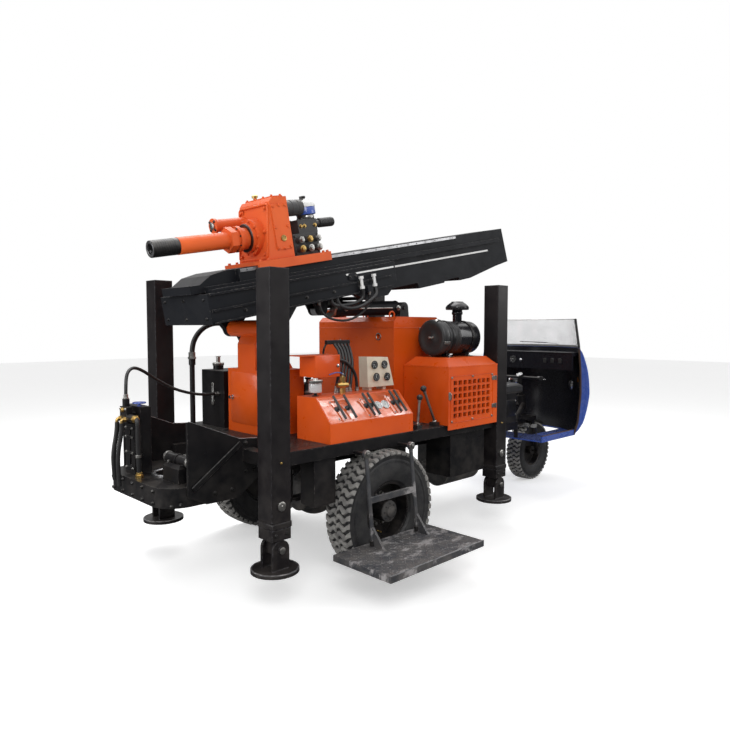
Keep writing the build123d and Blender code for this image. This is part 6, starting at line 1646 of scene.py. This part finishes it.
welds = [carried(smooth_path([at(x, y * 0.999, 953) for x in np.linspace(292, 618, 9)], 40), ring_section(4.5, 6))
         for y in (-243, 243)]
piece("tower_welds", joined(*welds), ORANGE)
print("all pieces:", len(PIECES))

# %% [markdown]
# The studio is a wide, flat pale floor, a bright even sky and four large lamps. Large lamps give soft shadows and
# long soft highlights along the mast and the legs.
# The background's white belongs to the floor and sky themselves, and only for the camera's
# rays, so that the object isn't lit more than its colours can bear. Glossy black paint mirrors
# what stands around it, and a yard is darker than a white studio. So mirrors see a dark floor
# and horizon under a bright sky, as they did where the photograph was taken.

# %% Floor, sky and lamps
def stage_floor(size=60.0, glow=0.42):
    """A flat square floor of that size that glows for the camera, with the object's soft shadow."""
    mesh = bpy.data.meshes.new("studio_floor")
    h = size / 2
    mesh.from_pydata([(-h, -h, 0), (h, -h, 0), (h, h, 0), (-h, h, 0)], [], [(0, 1, 2, 3)])
    floor = bpy.data.objects.new("studio_floor", mesh)
    bpy.context.scene.collection.objects.link(floor)
    finish, shader, add, join = wiring("studio_floor_paint")
    where = add("ShaderNodeTexCoord").outputs["Object"]
    faint = noise(add, where, 0.4, 2.0)
    pale = blend_colour(add, faint, (0.84, 0.84, 0.84), (0.88, 0.88, 0.88))
    shader.inputs["Roughness"].default_value = 0.9
    shader.inputs["Specular IOR Level"].default_value = 0.1
    rays = add("ShaderNodeLightPath")
    mirrored = rays.outputs["Is Glossy Ray"]
    join(blend_colour(add, mirrored, pale, (0.10, 0.10, 0.10)), shader.inputs["Base Color"])
    seen = times(add, rays.outputs["Is Camera Ray"], rays.outputs["Is Transmission Ray"], "MAXIMUM")
    shader.inputs["Emission Color"].default_value = (1, 1, 1, 1)
    join(times(add, seen, glow), shader.inputs["Emission Strength"])
    mesh.materials.append(finish)
    return floor


def sky(light=0.50, low=0.05, high=1.9):
    """A pale sky: light for the object, white for the camera, and for mirrors dark at the horizon."""
    world = bpy.data.worlds.new("studio_sky")
    bpy.context.scene.world = world
    world.use_nodes = True
    tree = world.node_tree
    back = tree.nodes["Background"]
    rays = tree.nodes.new("ShaderNodeLightPath")
    seen = tree.nodes.new("ShaderNodeMath")
    seen.operation = "MAXIMUM"
    tree.links.new(rays.outputs["Is Camera Ray"], seen.inputs[0])
    tree.links.new(rays.outputs["Is Transmission Ray"], seen.inputs[1])
    height = tree.nodes.new("ShaderNodeSeparateXYZ")
    tree.links.new(tree.nodes.new("ShaderNodeTexCoord").outputs["Generated"], height.inputs[0])
    rise = tree.nodes.new("ShaderNodeMapRange")
    for key, value in (("From Min", 0.15), ("From Max", 0.8), ("To Min", low), ("To Max", high)):
        rise.inputs[key].default_value = value
    tree.links.new(height.outputs["Z"], rise.inputs["Value"])
    mirrored = tree.nodes.new("ShaderNodeMix")
    mirrored.inputs["A"].default_value = light
    tree.links.new(rays.outputs["Is Glossy Ray"], mirrored.inputs["Factor"])
    tree.links.new(rise.outputs["Result"], mirrored.inputs["B"])
    strength = tree.nodes.new("ShaderNodeMix")
    strength.inputs["B"].default_value = 1.0
    tree.links.new(seen.outputs[0], strength.inputs["Factor"])
    tree.links.new(mirrored.outputs["Result"], strength.inputs["A"])
    tree.links.new(strength.outputs["Result"], back.inputs["Strength"])
    back.inputs["Color"].default_value = (1, 1, 1, 1)
    return world


def lamp(name, place, target, size, power):
    """A large square area lamp at place that faces target."""
    data = bpy.data.lights.new(name, "AREA")
    data.shape = "SQUARE"
    data.size = size
    data.energy = power
    obj = bpy.data.objects.new(name, data)
    bpy.context.scene.collection.objects.link(obj)
    obj.location = place
    obj.rotation_euler = (Vector(target) - Vector(place)).to_track_quat("-Z", "Y").to_euler()
    return obj


stage_floor()
sky()
lamp("key_lamp", (-5.5, -5.5, 6.0), (0, 0, 1.0), 4.0, 290.0)
lamp("fill_lamp", (5.5, -5.0, 4.0), (0, 0, 1.0), 4.0, 130.0)
lamp("rear_lamp", (-7.0, 1.5, 2.6), (-0.5, 0, 1.2), 3.0, 150.0)
lamp("top_lamp", (0.5, 2.5, 7.0), (0, 0, 1.0), 5.0, 260.0)
bpy.context.scene.view_settings.view_transform = "Standard"
print("studio set")
